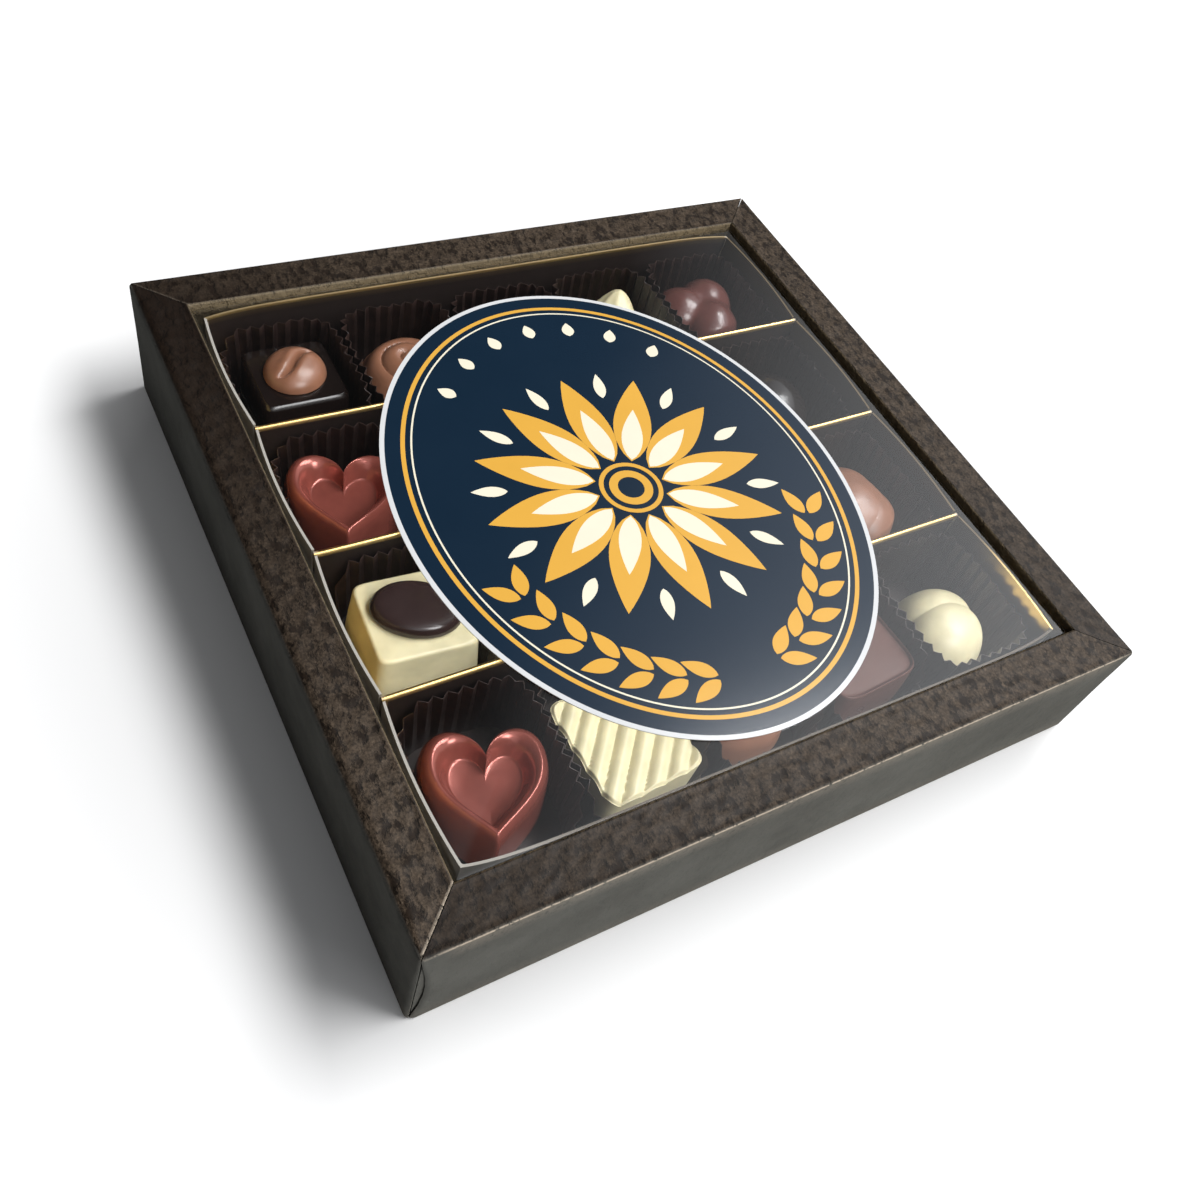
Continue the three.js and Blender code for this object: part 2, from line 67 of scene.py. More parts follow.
def node_box(node: str) -> tuple[Array, Array]:
    """Gives a construction node's lowest and highest corners.

    Args:
        node: Name of the node.

    Returns:
        The two corners in millimetres.
    """
    low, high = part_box(node)
    return np.array(low) / MM, np.array(high) / MM


def smooth_step(value: Array, low: float, high: float) -> Array:
    """Rises from 0 at low to 1 at high along a cubic with level ends.

    Args:
        value: Where to take the curve.
        low: Where it leaves 0.
        high: Where it reaches 1.

    Returns:
        The curve's heights.
    """
    share = np.clip((value - low) / (high - low), 0, 1)
    return share * share * (3 - 2 * share)


def smooth_curve(points: Rows, samples: int) -> Array:
    """Carries a Catmull-Rom curve through a few points.

    Args:
        points: Points that the curve meets, in order.
        samples: How many points to give back.

    Returns:
        The sampled curve, one point a row.
    """
    given = np.asarray(points, float)
    ends = np.vstack([2 * given[0] - given[1], given, 2 * given[-1] - given[-2]])
    place = np.linspace(0, len(given) - 1, samples)
    first = np.minimum(place.astype(int), len(given) - 2)
    t = (place - first)[:, None]
    a, b, c, d = (ends[first + step] for step in range(4))
    straight = 2 * b + (c - a) * t
    bend = (2 * a - 5 * b + 4 * c - d) * t**2 + (3 * b - a - 3 * c + d) * t**3
    return (straight + bend) / 2


def even_loop(points: Array, count: int) -> Array:
    """Spaces points evenly by length along a closed outline.

    Args:
        points: The outline, densely sampled, without its first point again.
        count: How many points to give back.

    Returns:
        The evenly spaced outline.
    """
    closed = np.vstack([points, points[:1]])
    along = np.concatenate([[0], np.cumsum(np.linalg.norm(np.diff(closed, axis=0), axis=1))])
    wanted = np.linspace(0, along[-1], count, endpoint=False)
    return np.stack([np.interp(wanted, along, closed[:, axis]) for axis in range(2)], axis=-1)


def superellipse(half_x: float, half_y: float, power: float, count: int) -> Array:
    """Gives the closed curve on which |x/a|^n + |y/b|^n is 1, evenly spaced.

    Args:
        half_x: Half its width, a.
        half_y: Half its length, b.
        power: The power n: 2 is an ellipse, and more is squarer.
        count: How many points to give back.

    Returns:
        The outline, one point a row.
    """
    angle = np.linspace(0, FULL_TURN, 16 * count, endpoint=False)
    x, y = np.cos(angle), np.sin(angle)
    reach = (np.abs(x / half_x) ** power + np.abs(y / half_y) ** power) ** (-1 / power)
    return even_loop(np.stack([x * reach, y * reach], axis=-1), count)


def outward(outline: Array) -> Array:
    """Gives the unit vectors that point out of a closed counter-clockwise outline.

    Args:
        outline: The outline, one point a row.

    Returns:
        A vector for each point, across the line between its neighbours.
    """
    along = np.roll(outline, -1, axis=0) - np.roll(outline, 1, axis=0)
    normal = np.stack([along[:, 1], -along[:, 0]], axis=-1)
    return normal / np.linalg.norm(normal, axis=1, keepdims=True)


def unit_vectors(angle: Array) -> Array:
    """Gives the plan's unit vectors at angles from the X axis."""
    return np.stack([np.cos(angle), np.sin(angle)], axis=-1)


def lifted(plan: Array, height: Array | float) -> Array:
    """Gives plan points a height, which may be one for all or one for each."""
    return np.concatenate([plan, np.broadcast_to(height, plan.shape[:-1])[..., None]], axis=-1)


def loft(outline: Array, profile: Array) -> Array:
    """Scales a plan outline and lifts it, once for each row of a profile.

    Args:
        outline: Plan points.
        profile: Rows of scale and height.

    Returns:
        A grid of points, a row for each row of the profile.
    """
    return lifted(profile[:, :1, None] * outline[None], profile[:, 1:])


def heap(outline: Array, rows: int, height: Callable[[Array, Array, Array], Array]) -> Array:
    """Raises a height over an outline and closes it with a flat foot at height 0.

    Args:
        outline: Plan points of the edge.
        rows: How many rings to put between the edge and the middle.
        height: Takes x, y and the share of the way out to the edge, and gives z.

    Returns:
        A grid of points from the foot's middle over the edge to the top's middle.
    """
    share = 1 - np.linspace(0, 1, rows) ** 1.4
    plan = share[:, None, None] * outline[None]
    out = np.broadcast_to(share[:, None], plan.shape[:2])
    top = lifted(plan, height(plan[..., 0], plan[..., 1], out))
    foot = loft(outline, np.array([[0.0, 0.0], [0.5, 0.0], [0.97, 0.0]]))
    return np.concatenate([foot, top])


def lattice_noise(x: Array, y: Array, cell: float, seed: int) -> Array:
    """Blends random heights at the corners of square cells.

    Args:
        x: Where to take the noise.
        y: Where to take the noise.
        cell: Side of a cell.
        seed: Which noise.

    Returns:
        Heights from -1 to 1.
    """
    table = np.random.default_rng(seed).uniform(-1, 1, (NOISE_CELLS, NOISE_CELLS))
    column, row = np.floor(x / cell).astype(int), np.floor(y / cell).astype(int)
    u, v = smooth_step(x / cell - column, 0, 1), smooth_step(y / cell - row, 0, 1)
    rows, columns = ([(first + step) % NOISE_CELLS for step in (0, 1)] for first in (row, column))
    near, far = (table[line, columns[0]] * (1 - u) + table[line, columns[1]] * u for line in rows)
    return near * (1 - v) + far * v


def turned(points: Array, degrees: float) -> Array:
    """Turns points about the Z axis.

    Args:
        points: Any grid of points.
        degrees: Angle, counter-clockwise from above.

    Returns:
        The turned points.
    """
    cos, sin = math.cos(math.radians(degrees)), math.sin(math.radians(degrees))
    x, y, z = np.moveaxis(points, -1, 0)
    return np.stack([x * cos - y * sin, x * sin + y * cos, z], axis=-1)


def filling(points: Array, node: str) -> Array:
    """Sets a shape into the box of the construction node that it stands for.

    Args:
        points: The shape, at about its size.
        node: Name of the node.

    Returns:
        The shape with its own box stretched to the node's.
    """
    low, high = node_box(node)
    own_low = points.reshape(-1, 3).min(axis=0)
    own_high = points.reshape(-1, 3).max(axis=0)
    return low + (points - own_low) / (own_high - own_low) * (high - low)


def listed(name: str) -> bpy.types.Collection:
    """Gives a list of pieces that a lamp lights alone or leaves out, and starts it the first time."""
    return bpy.data.collections.get(name) or bpy.data.collections.new(name)


@dataclass
class Skin:
    """A closed surface gathered from grids of points in millimetres.

    Attributes:
        points: Vertex places, one array for each grid.
        faces: Rows of vertex numbers, one array for each grid.
        marks: Named values at the vertices, such as where a cut edge shows.
        count: How many vertices there are so far.
    """

    points: list[Array] = field(default_factory=list)
    faces: list[Array] = field(default_factory=list)
    marks: dict[str, list[Array]] = field(default_factory=dict)
    count: int = 0

    def grid(
        self, points: Array, rows_close: bool = False, columns_close: bool = False, **marks: Array | float
    ) -> "Skin":
        """Adds a grid of points joined by four-sided faces.

        Args:
            points: The grid, rows by columns by three.
            rows_close: Whether the last row joins the first.
            columns_close: Whether the last column joins the first.
            **marks: Values over the grid, the same names in each grid of a skin.

        Returns:
            The skin itself.
        """
        rows, columns = points.shape[:2]
        number = np.arange(rows * columns).reshape(rows, columns) + self.count
        if rows_close:
            number = np.vstack([number, number[:1]])
        if columns_close:
            number = np.hstack([number, number[:, :1]])
        corners = [number[:-1, :-1], number[:-1, 1:], number[1:, 1:], number[1:, :-1]]
        self.faces.append(np.stack(corners, axis=-1).reshape(-1, 4))
        self.points.append(points.reshape(-1, 3))
        self.count += rows * columns
        for name, value in marks.items():
            spread = np.broadcast_to(value, (rows, columns)).ravel()
            self.marks.setdefault(name, []).append(spread)
        return self

    def end_caps(self, points: Array, **marks: float) -> "Skin":
        """Closes both ends of a grid whose rows close, each with one flat face.

        Args:
            points: The grid.
            **marks: A value for each mark of the skin.

        Returns:
            The skin itself.
        """
        for column in (0, -1):
            loop = points[:, column]
            self.faces.append(np.arange(len(loop))[None] + self.count)
            self.points.append(loop)
            self.count += len(loop)
            for name, value in marks.items():
                self.marks.setdefault(name, []).append(np.full(len(loop), value))
        return self

    def piece(
        self,
        name: str,
        body: str,
        finish: "Finish",
        replaces: tuple[str, ...] = (),
        slot: str | None = None,
        sharp: float = 40.0,
    ) -> bpy.types.Object:
        """Makes the skin a Blender object that rides on a body of the construction.

        Args:
            name: The piece's name.
            body: The body that it moves with.
            finish: What it is made of.
            replaces: Construction nodes that it stands for.
            slot: The record's material slot for its finish; not used.
            sharp: Angle in degrees above which an edge stays crisp.

        Returns:
            The new object.
        """
        mesh = bpy.data.meshes.new(name)
        places = np.concatenate(self.points) * MM
        mesh.from_pydata(places.tolist(), [], [face for part in self.faces for face in part.tolist()])
        for mark, values in self.marks.items():
            layer = mesh.attributes.new(mark, "FLOAT", "POINT")
            layer.data.foreach_set("value", np.concatenate(values).astype(np.float32))
        seams = bmesh.new()
        seams.from_mesh(mesh)
        bmesh.ops.remove_doubles(seams, verts=seams.verts, dist=SEAM)
        bmesh.ops.recalc_face_normals(seams, faces=seams.faces)
        seams.to_mesh(mesh)
        seams.free()
        mesh.shade_smooth()
        mesh.set_sharp_from_angle(angle=math.radians(sharp))
        mesh.materials.append(finish.material())
        made = bpy.data.objects.new(name, mesh)
        bpy.context.scene.collection.objects.link(made)
        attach(made, body)
        if isinstance(finish, ChocolateFinish):
            listed("sweets").objects.link(made)
        if body == "tray":
            listed("walls").objects.link(made)
        if isinstance(finish, FilmFinish):
            listed("panes").objects.link(made)
            listed("panes").collection_objects[-1].light_linking.link_state = "EXCLUDE"
        made.visible_shadow = not isinstance(finish, PrintFinish)
        if replaces:
            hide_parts(*replaces)
        LOG.info("%s: %d faces on %s", name, len(mesh.polygons), body)
        return made


# Finishes


def scaled(colour: Colour, share: float) -> Colour:
    """Gives a colour made brighter or darker, at most white."""
    return tuple(min(1.0, share * part) for part in colour)


class Sheet:
    """A node tree that is filled with few words.

    Attributes:
        tree: The tree of a material, a world or a group.
    """

    def __init__(self, tree: bpy.types.NodeTree) -> None:
        """Starts on a tree."""
        self.tree = tree

    def add(self, kind: str, inputs: dict | None = None, **settings: object) -> bpy.types.Node:
        """Adds a node.

        Args:
            kind: Its type without the words ShaderNode.
            inputs: A value or a socket for each named or numbered input.
            **settings: Its own properties.

        Returns:
            The node.
        """
        node = self.tree.nodes.new("ShaderNode" + kind)
        for name, value in settings.items():
            setattr(node, name, value)
        for name, value in (inputs or {}).items():
            if isinstance(value, Socket):
                self.tree.links.new(value, node.inputs[name])
            elif isinstance(value, tuple) and node.inputs[name].type == "RGBA":
                node.inputs[name].default_value = (*value, 1)
            else:
                node.inputs[name].default_value = value
        return node

    def group(self, effect: "Effect", **inputs: object) -> bpy.types.Node:
        """Places a shared effect, with a value or a socket for each of its inputs."""
        return self.add("Group", inputs, node_tree=effect.tree())

    def math(self, operation: str, first: object, second: object = 0.0) -> Socket:
        """Adds a sum on two values and gives its result."""
        return self.add("Math", {0: first, 1: second}, operation=operation).outputs[0]

    def mix(self, share: object, first: object, second: object) -> Socket:
        """Adds a blend of two colours and gives its result."""
        node = self.add("Mix", {0: share, 6: first, 7: second}, data_type="RGBA")
        return node.outputs[2]

    def range(self, value: object, low: float, high: float, to_low: float, to_high: float) -> Socket:
        """Adds a clamped map from one range to another and gives its result."""
        inputs = {0: value, 1: low, 2: high, 3: to_low, 4: to_high}
        return self.add("MapRange", inputs).outputs[0]

    def bump(self, strength: float, depth: float, height: Socket) -> Socket:
        """Adds a relief of a depth in metres from a height and gives its normals."""
        inputs = {"Strength": strength, "Distance": depth, "Height": height}
        return self.add("Bump", inputs).outputs[0]

    def mark(self, name: str) -> Socket:
        """Adds a reading of a value kept at the vertices and gives it."""
        return self.add("Attribute", attribute_name=name).outputs["Fac"]

    def places(self) -> Socket:
        """Adds the place on the object, in metres, and gives it."""
        return self.add("TexCoord").outputs["Object"]


class Effect(Enum):
    """Effects that several finishes share, each a node group built once."""

    MOTTLE = "mottle"
    CRINKLE = "crinkle"
    FLECKS = "flecks"

    def tree(self) -> bpy.types.NodeTree:
        """Gives the effect's node group, and builds it the first time."""
        found = bpy.data.node_groups.get(self.value)
        return found or self._built()

    def _built(self) -> bpy.types.NodeTree:
        """Builds the effect's node group: its sockets, its nodes and the links to its results.

        Returns:
            The group.
        """
        tree = bpy.data.node_groups.new(self.value, "ShaderNodeTree")
        sockets = {
            Effect.MOTTLE: (("Place", "Vector"), ("Scale", "Float"), ("Dark", "Color"), ("Light", "Color")),
            Effect.CRINKLE: (("Place", "Vector"), ("Scale", "Float"), ("Strength", "Float")),
            Effect.FLECKS: (("Place", "Vector"), ("Scale", "Float"), ("Where", "Float"), ("Amount", "Float")),
        }[self]
        results = {
            Effect.MOTTLE: (("Colour", "Color"), ("Value", "Float")),
            Effect.CRINKLE: (("Height", "Float"), ("Hollows", "Float")),
            Effect.FLECKS: (("Mask", "Float"),),
        }[self]
        for name, kind in sockets:
            tree.interface.new_socket(name=name, in_out="INPUT", socket_type="NodeSocket" + kind)
        for name, kind in results:
            tree.interface.new_socket(name=name, in_out="OUTPUT", socket_type="NodeSocket" + kind)
        sheet = Sheet(tree)
        given = tree.nodes.new("NodeGroupInput").outputs
        out = tree.nodes.new("NodeGroupOutput").inputs
        made = {Effect.MOTTLE: self._mottle, Effect.CRINKLE: self._crinkle, Effect.FLECKS: self._flecks}
        for name, socket in made[self](sheet, given).items():
            tree.links.new(socket, out[name])
        return tree

    def _mottle(self, sheet: Sheet, given: bpy.types.NodeOutputs) -> dict[str, Socket]:
        """Blends two colours by soft clouds with a finer cloud on top.

        Args:
            sheet: The group's tree.
            given: The group's inputs.

        Returns:
            A socket for each result.
        """
        inputs = {"Vector": given["Place"], "Scale": given["Scale"], "Detail": 4.0, "Roughness": 0.6}
        cloud = sheet.add("TexNoise", inputs).outputs["Fac"]
        share = sheet.range(cloud, 0.3, 0.7, 0.0, 1.0)
        return {"Colour": sheet.mix(share, given["Dark"], given["Light"]), "Value": share}

    def _crinkle(self, sheet: Sheet, given: bpy.types.NodeOutputs) -> dict[str, Socket]:
        """Presses pits between rounded grains, bent by a cloud, with a fine tooth over all.

        Args:
            sheet: The group's tree.
            given: The group's inputs.

        Returns:
            A socket for each result.
        """
        bend = sheet.add("TexNoise", {"Vector": given["Place"], "Scale": given["Scale"], "Detail": 2.0})
        shift = sheet.add("VectorMath", {0: bend.outputs["Color"], "Scale": 0.0009}, operation="SCALE")
        place = sheet.add("VectorMath", {0: given["Place"], 1: shift.outputs[0]}, operation="ADD").outputs[0]
        inputs = {"Vector": place, "Scale": given["Scale"]}
        cells = sheet.add("TexVoronoi", inputs, feature="SMOOTH_F1").outputs["Distance"]
        tooth_scale = sheet.math("MULTIPLY", given["Scale"], 3.4)
        tooth = sheet.add("TexNoise", {"Vector": place, "Scale": tooth_scale, "Detail": 3.0}).outputs["Fac"]
        grain = sheet.math("ADD", sheet.math("MULTIPLY", cells, -0.9), sheet.math("MULTIPLY", tooth, 0.55))
        hollows = sheet.range(grain, -0.42, 0.12, 1.0, 0.0)
        return {"Height": sheet.math("MULTIPLY", grain, given["Strength"]), "Hollows": hollows}

    def _flecks(self, sheet: Sheet, given: bpy.types.NodeOutputs) -> dict[str, Socket]:
        """Breaks a band of worn paper and painted highlight into flecks where a fine cloud is high.

        Args:
            sheet: The group's tree.
            given: The group's inputs.

        Returns:
            A socket for each result.
        """
        inputs = {"Vector": given["Place"], "Scale": given["Scale"], "Detail": 5.0, "Roughness": 0.7}
        cloud = sheet.add("TexNoise", inputs).outputs["Fac"]
        over = sheet.math("SUBTRACT", cloud, sheet.math("SUBTRACT", 1.0, given["Amount"]))
        mask = sheet.math("MULTIPLY", sheet.range(over, 0.0, 0.09, 0.0, 1.0), given["Where"])
        return {"Mask": mask}


MATERIALS: dict["Finish", bpy.types.Material] = {}


@dataclass(frozen=True)
class Finish:
    """What a piece is made of.

    Attributes:
        name: The material's name.
    """

    name: str

    def material(self) -> bpy.types.Material:
        """Gives the finish's material, and builds it the first time.

        Returns:
            The material.
        """
        if self in MATERIALS:
            return MATERIALS[self]
        made = MATERIALS[self] = bpy.data.materials.new(self.name + "_look")
        made.use_nodes = True
        made.node_tree.nodes.clear()
        sheet = Sheet(made.node_tree)
        out = sheet.add("OutputMaterial")
        made.node_tree.links.new(self.shader(sheet), out.inputs["Surface"])
        return made

    def shader(self, sheet: Sheet) -> Socket:
        """Builds the finish's nodes and gives the last one's shader."""
        raise NotImplementedError


@dataclass(frozen=True)
class BoardFinish(Finish):
    """Dark laminated board: crinkled on the rim, smooth on the walls, pale where it is cut or worn; it
    carries painted light and shade on the rim, in the well and along the bottom fold.

    Attributes:
        dark: Colour in the hollows of the grain.
        light: Colour on top of the grain.
        wall: Colour of the smooth walls.
        inner: Colour of the walls of the well, a pale tan that paints in the light they catch.
        worn: Colour of bare paper, which the painted highlight along the bottom fold also takes.
        grain_scale: How many grains a metre holds.
        grit_scale: How many specks of grit a metre holds.
        pit_scale: How many pits a metre holds.
        cloud_scale: How many clouds a metre of smooth wall holds.
        fleck_scale: How many worn flecks and flecks of painted highlight a metre holds.
        relief: Depth of the grain in metres.
    """

    dark: Colour = (0.0105, 0.0064, 0.0042)
    light: Colour = (0.061, 0.0445, 0.031)
    wall: Colour = (0.062, 0.062, 0.056)
    inner: Colour = (0.13, 0.10, 0.06)
    worn: Colour = (0.36, 0.30, 0.235)
    grain_scale: float = 500.0
    grit_scale: float = 1400.0
    pit_scale: float = 340.0
    cloud_scale: float = 60.0
    fleck_scale: float = 900.0
    relief: float = 0.0007

    def shader(self, sheet: Sheet) -> Socket:
        """Mixes grain with its painted light and shade, wall, flecks and cut edges by the marks of the board.

        Args:
            sheet: The material's tree.

        Returns:
            The surface's shader.
        """
        place, grain = sheet.places(), sheet.mark("grain")
        strokes = sheet.add("VectorMath", {0: place, 1: (1.25, 0.85, 1.0)}, operation="MULTIPLY").outputs[0]
        crinkle = sheet.group(Effect.CRINKLE, Place=strokes, Scale=self.grain_scale, Strength=1.0)
        dim, pale = scaled(self.light, 0.4), scaled(self.light, 1.75)
        grit = sheet.group(Effect.MOTTLE, Place=place, Scale=self.grit_scale, Dark=dim, Light=pale)
        shades = {"Dark": self.dark, "Light": self.light}
        cloud = sheet.group(Effect.MOTTLE, Place=strokes, Scale=self.pit_scale, **shades)
        pits = sheet.range(cloud.outputs["Value"], 0.24, 0.52, 1.0, 0.0)
        hollows = sheet.math("MAXIMUM", pits, sheet.math("MULTIPLY", crinkle.outputs["Hollows"], 0.6))
        # Painted light and shade: by a mark along each side, the rim's grain runs from dark in shade to its
        # lit, specked colour.
        painted_light = sheet.mix(sheet.mark("painted_light"), self.dark, grit.outputs["Colour"])
        pressed = sheet.mix(sheet.math("MULTIPLY", hollows, 0.9), painted_light, self.dark)
        shades = {"Dark": self.wall, "Light": scaled(self.wall, 1.35)}
        smooth = sheet.group(Effect.MOTTLE, Place=place, Scale=self.cloud_scale, **shades)
        colour = sheet.mix(grain, smooth.outputs["Colour"], pressed)
        # Flecks of worn paper on the rim's edge, and of the painted highlight along the bottom fold.
        worn = {"Where": sheet.mark("wear_and_highlight"), "Amount": 0.62}
        flecks = sheet.group(Effect.FLECKS, Place=place, Scale=self.fleck_scale, **worn)
        colour = sheet.mix(flecks.outputs["Mask"], colour, self.worn)
        # Painted light: the well's walls take a pale tan for the light that they catch.
        colour = sheet.mix(sheet.mark("inside"), colour, self.inner)
        colour = sheet.mix(sheet.mark("cut"), colour, self.worn)
        height = sheet.math("SUBTRACT", crinkle.outputs["Height"], sheet.math("MULTIPLY", pits, 0.7))
        height = sheet.math("MULTIPLY", height, grain)
        bump = sheet.bump(1.0, self.relief, height)
        inputs = {
            "Base Color": colour,
            "Roughness": 0.45,
            "Specular IOR Level": 0.0,
            "Coat Weight": sheet.math("MULTIPLY", grain, 0.3),
            "Coat Roughness": 0.5,
            "Normal": bump,
        }
        return sheet.add("BsdfPrincipled", inputs).outputs[0]


@dataclass(frozen=True)
class GoldCardFinish(Finish):
    """Gold foil on white card, bare on its back and where it is cut, and darkened down between the cups by a
    painted shade.

    Attributes:
        foil: Colour of the foil.
        painted_shade_colour: Colour of the painted shade on the foil down between the cups.
        card: Colour of the cut card.
        roughness: Of the foil.
    """

    foil: Colour = (0.66, 0.46, 0.18)
    painted_shade_colour: Colour = (0.014, 0.0056, 0.0032)
    card: Colour = (0.50, 0.47, 0.42)
    roughness: float = 0.3

    def shader(self, sheet: Sheet) -> Socket:
        """Mixes foil, its painted shade and cut card by the marks of the depth and of the cut edges.

        Args:
            sheet: The material's tree.

        Returns:
            The surface's shader.
        """
        place, cut = sheet.places(), sheet.mark("cut")
        pale = scaled(self.foil, 1.12)
        cloud = sheet.group(Effect.MOTTLE, Place=place, Scale=90.0, Dark=self.foil, Light=pale)
        fibre = sheet.group(Effect.CRINKLE, Place=place, Scale=1400.0, Strength=1.0)
        # Painted shade: the foil turns dark brown and less metallic down in the depth.
        colour = sheet.mix(sheet.mark("depth"), cloud.outputs["Colour"], self.painted_shade_colour)
        colour = sheet.mix(cut, colour, self.card)
        depth = sheet.math("MULTIPLY", sheet.mark("depth"), 0.85)
        metal = sheet.math("SUBTRACT", 1.0, sheet.math("MAXIMUM", cut, depth))
        rough = sheet.range(metal, 0.0, 1.0, 0.8, self.roughness)
        bump = sheet.bump(0.12, 0.0002, fibre.outputs["Height"])
        inputs = {"Base Color": colour, "Metallic": metal, "Roughness": rough, "Normal": bump}
        return sheet.add("BsdfPrincipled", inputs).outputs[0]


@dataclass(frozen=True)
class FilmFinish(Finish):
    """Clear folded plastic sheet: it mirrors by its angle, and shows a painted white highlight on its folds.

    Attributes:
        tint: Colour of the light that comes through.
        highlight_colour: Colour of the painted highlight on the folds.
        index: Refractive index that mirrors as much in one face as the sheet does in two.
    """

    tint: Colour = (0.985, 0.988, 0.99)
    highlight_colour: Colour = (0.62, 0.62, 0.60)
    index: float = 1.8

    def shader(self, sheet: Sheet) -> Socket:
        """Mixes what shows through with what is mirrored, and with a painted white highlight on the folds.

        Args:
            sheet: The material's tree.

        Returns:
            The surface's shader.
        """
        clear = sheet.add("BsdfTransparent", {"Color": self.tint}).outputs[0]
        blur = sheet.range(sheet.mark("fold"), 0.0, 0.08, 0.06, 0.6)
        mirror = sheet.add("BsdfGlossy", {"Color": (1.0, 1.0, 1.0), "Roughness": blur}).outputs[0]
        angle = sheet.add("Fresnel", {"IOR": self.index}).outputs[0]
        front = sheet.math("SUBTRACT", 1.0, sheet.add("NewGeometry").outputs["Backfacing"])
        angle = sheet.math("MULTIPLY", angle, front)
        sheet_like = sheet.add("MixShader", {0: angle, 1: clear, 2: mirror}).outputs[0]
        # Painted highlight: a matt white surface takes over on the fold crests.
        white = sheet.add("BsdfPrincipled", {"Base Color": self.highlight_colour, "Roughness": 0.35}).outputs[0]
        return sheet.add("MixShader", {0: sheet.mark("fold"), 1: sheet_like, 2: white}).outputs[0]


@dataclass(frozen=True)
class PrintFinish(Finish):
    """One colour of a satin printed label.

    Attributes:
        ink: The colour.
        roughness: Of the varnish.
    """

    ink: Colour = (0.01, 0.02, 0.04)
    roughness: float = 0.16

    def shader(self, sheet: Sheet) -> Socket:
        """Lays the ink with a faint unevenness and a paper tooth under a varnish.

        Args:
            sheet: The material's tree.

        Returns:
            The surface's shader.
        """
        place = sheet.places()
        pale = tuple(min(1.0, 1.06 * c + 0.001) for c in self.ink)
        cloud = sheet.group(Effect.MOTTLE, Place=place, Scale=45.0, Dark=self.ink, Light=pale)
        fibre = sheet.group(Effect.CRINKLE, Place=place, Scale=1800.0, Strength=1.0)
        bump = sheet.bump(0.03, 0.0001, fibre.outputs["Height"])
        inputs = {"Base Color": cloud.outputs["Colour"], "Roughness": self.roughness, "Normal": bump}
        return sheet.add("BsdfPrincipled", inputs).outputs[0]


@dataclass(frozen=True)
class CupPaperFinish(Finish):
    """Dark glassine paper, with a painted highlight along its cut lip and on the ridges of its pleats.

    Attributes:
        dark: Colour in the pleats.
        light: Colour of the painted highlight on the lip and the ridges.
    """

    dark: Colour = (0.0085, 0.0042, 0.0032)
    light: Colour = (0.056, 0.031, 0.025)

    def shader(self, sheet: Sheet) -> Socket:
        """Mixes the two colours by the mark of the painted highlight on the ridges, broken by clouds.

        Args:
            sheet: The material's tree.

        Returns:
            The surface's shader.
        """
        place = sheet.places()
        between = tuple((2 * d + l) / 3 for d, l in zip(self.dark, self.light))
        cloud = sheet.group(Effect.MOTTLE, Place=place, Scale=300.0, Dark=self.dark, Light=between)
        broken = sheet.range(cloud.outputs["Value"], 0.0, 1.0, 0.3, 1.0)
        # Painted highlight on the pleat ridges and the lip.
        share = sheet.math("MULTIPLY", sheet.mark("ridge"), broken)
        colour = sheet.mix(share, cloud.outputs["Colour"], self.light)
        fibre = sheet.group(Effect.CRINKLE, Place=place, Scale=1500.0, Strength=1.0)
        rough = sheet.range(fibre.outputs["Height"], -0.6, 0.3, 0.4, 0.5)
        inputs = {"Base Color": colour, "Roughness": rough}
        return sheet.add("BsdfPrincipled", inputs).outputs[0]


@dataclass(frozen=True)
class ChocolateFinish(Finish):
    """Moulded chocolate with a satin skin.

    Attributes:
        colour: Main colour.
        roughness: Of the skin.
        shimmer: How metallic the skin is.
        glow: Share of light that scatters inside.
        gloss: How strongly the skin mirrors.
    """

    colour: Colour = (0.03, 0.015, 0.01)
    roughness: float = 0.34
    shimmer: float = 0.0
    glow: float = 0.0
    gloss: float = 0.5

    def shader(self, sheet: Sheet) -> Socket:
        """Clouds the colour and the gloss, with a faint skin relief.

        Args:
            sheet: The material's tree.

        Returns:
            The surface's shader.
        """
        place = sheet.places()
        shades = {"Dark": scaled(self.colour, 0.86), "Light": scaled(self.colour, 1.1)}
        cloud = sheet.group(Effect.MOTTLE, Place=place, Scale=160.0, **shades)
        rough = sheet.range(cloud.outputs["Value"], 0.0, 1.0, 0.88 * self.roughness, 1.14 * self.roughness)
        skin = sheet.group(Effect.CRINKLE, Place=place, Scale=420.0, Strength=1.0)
        bump = sheet.bump(0.008, 0.0003, skin.outputs["Height"])
        inputs = {
            "Base Color": cloud.outputs["Colour"],
            "Roughness": rough,
            "Metallic": self.shimmer,
            "Specular IOR Level": self.gloss,
            "Subsurface Weight": self.glow,
            "Subsurface Radius": (1.0, 0.6, 0.3),
            "Subsurface Scale": 0.0012,
            "Normal": bump,
        }
        return sheet.add("BsdfPrincipled", inputs).outputs[0]


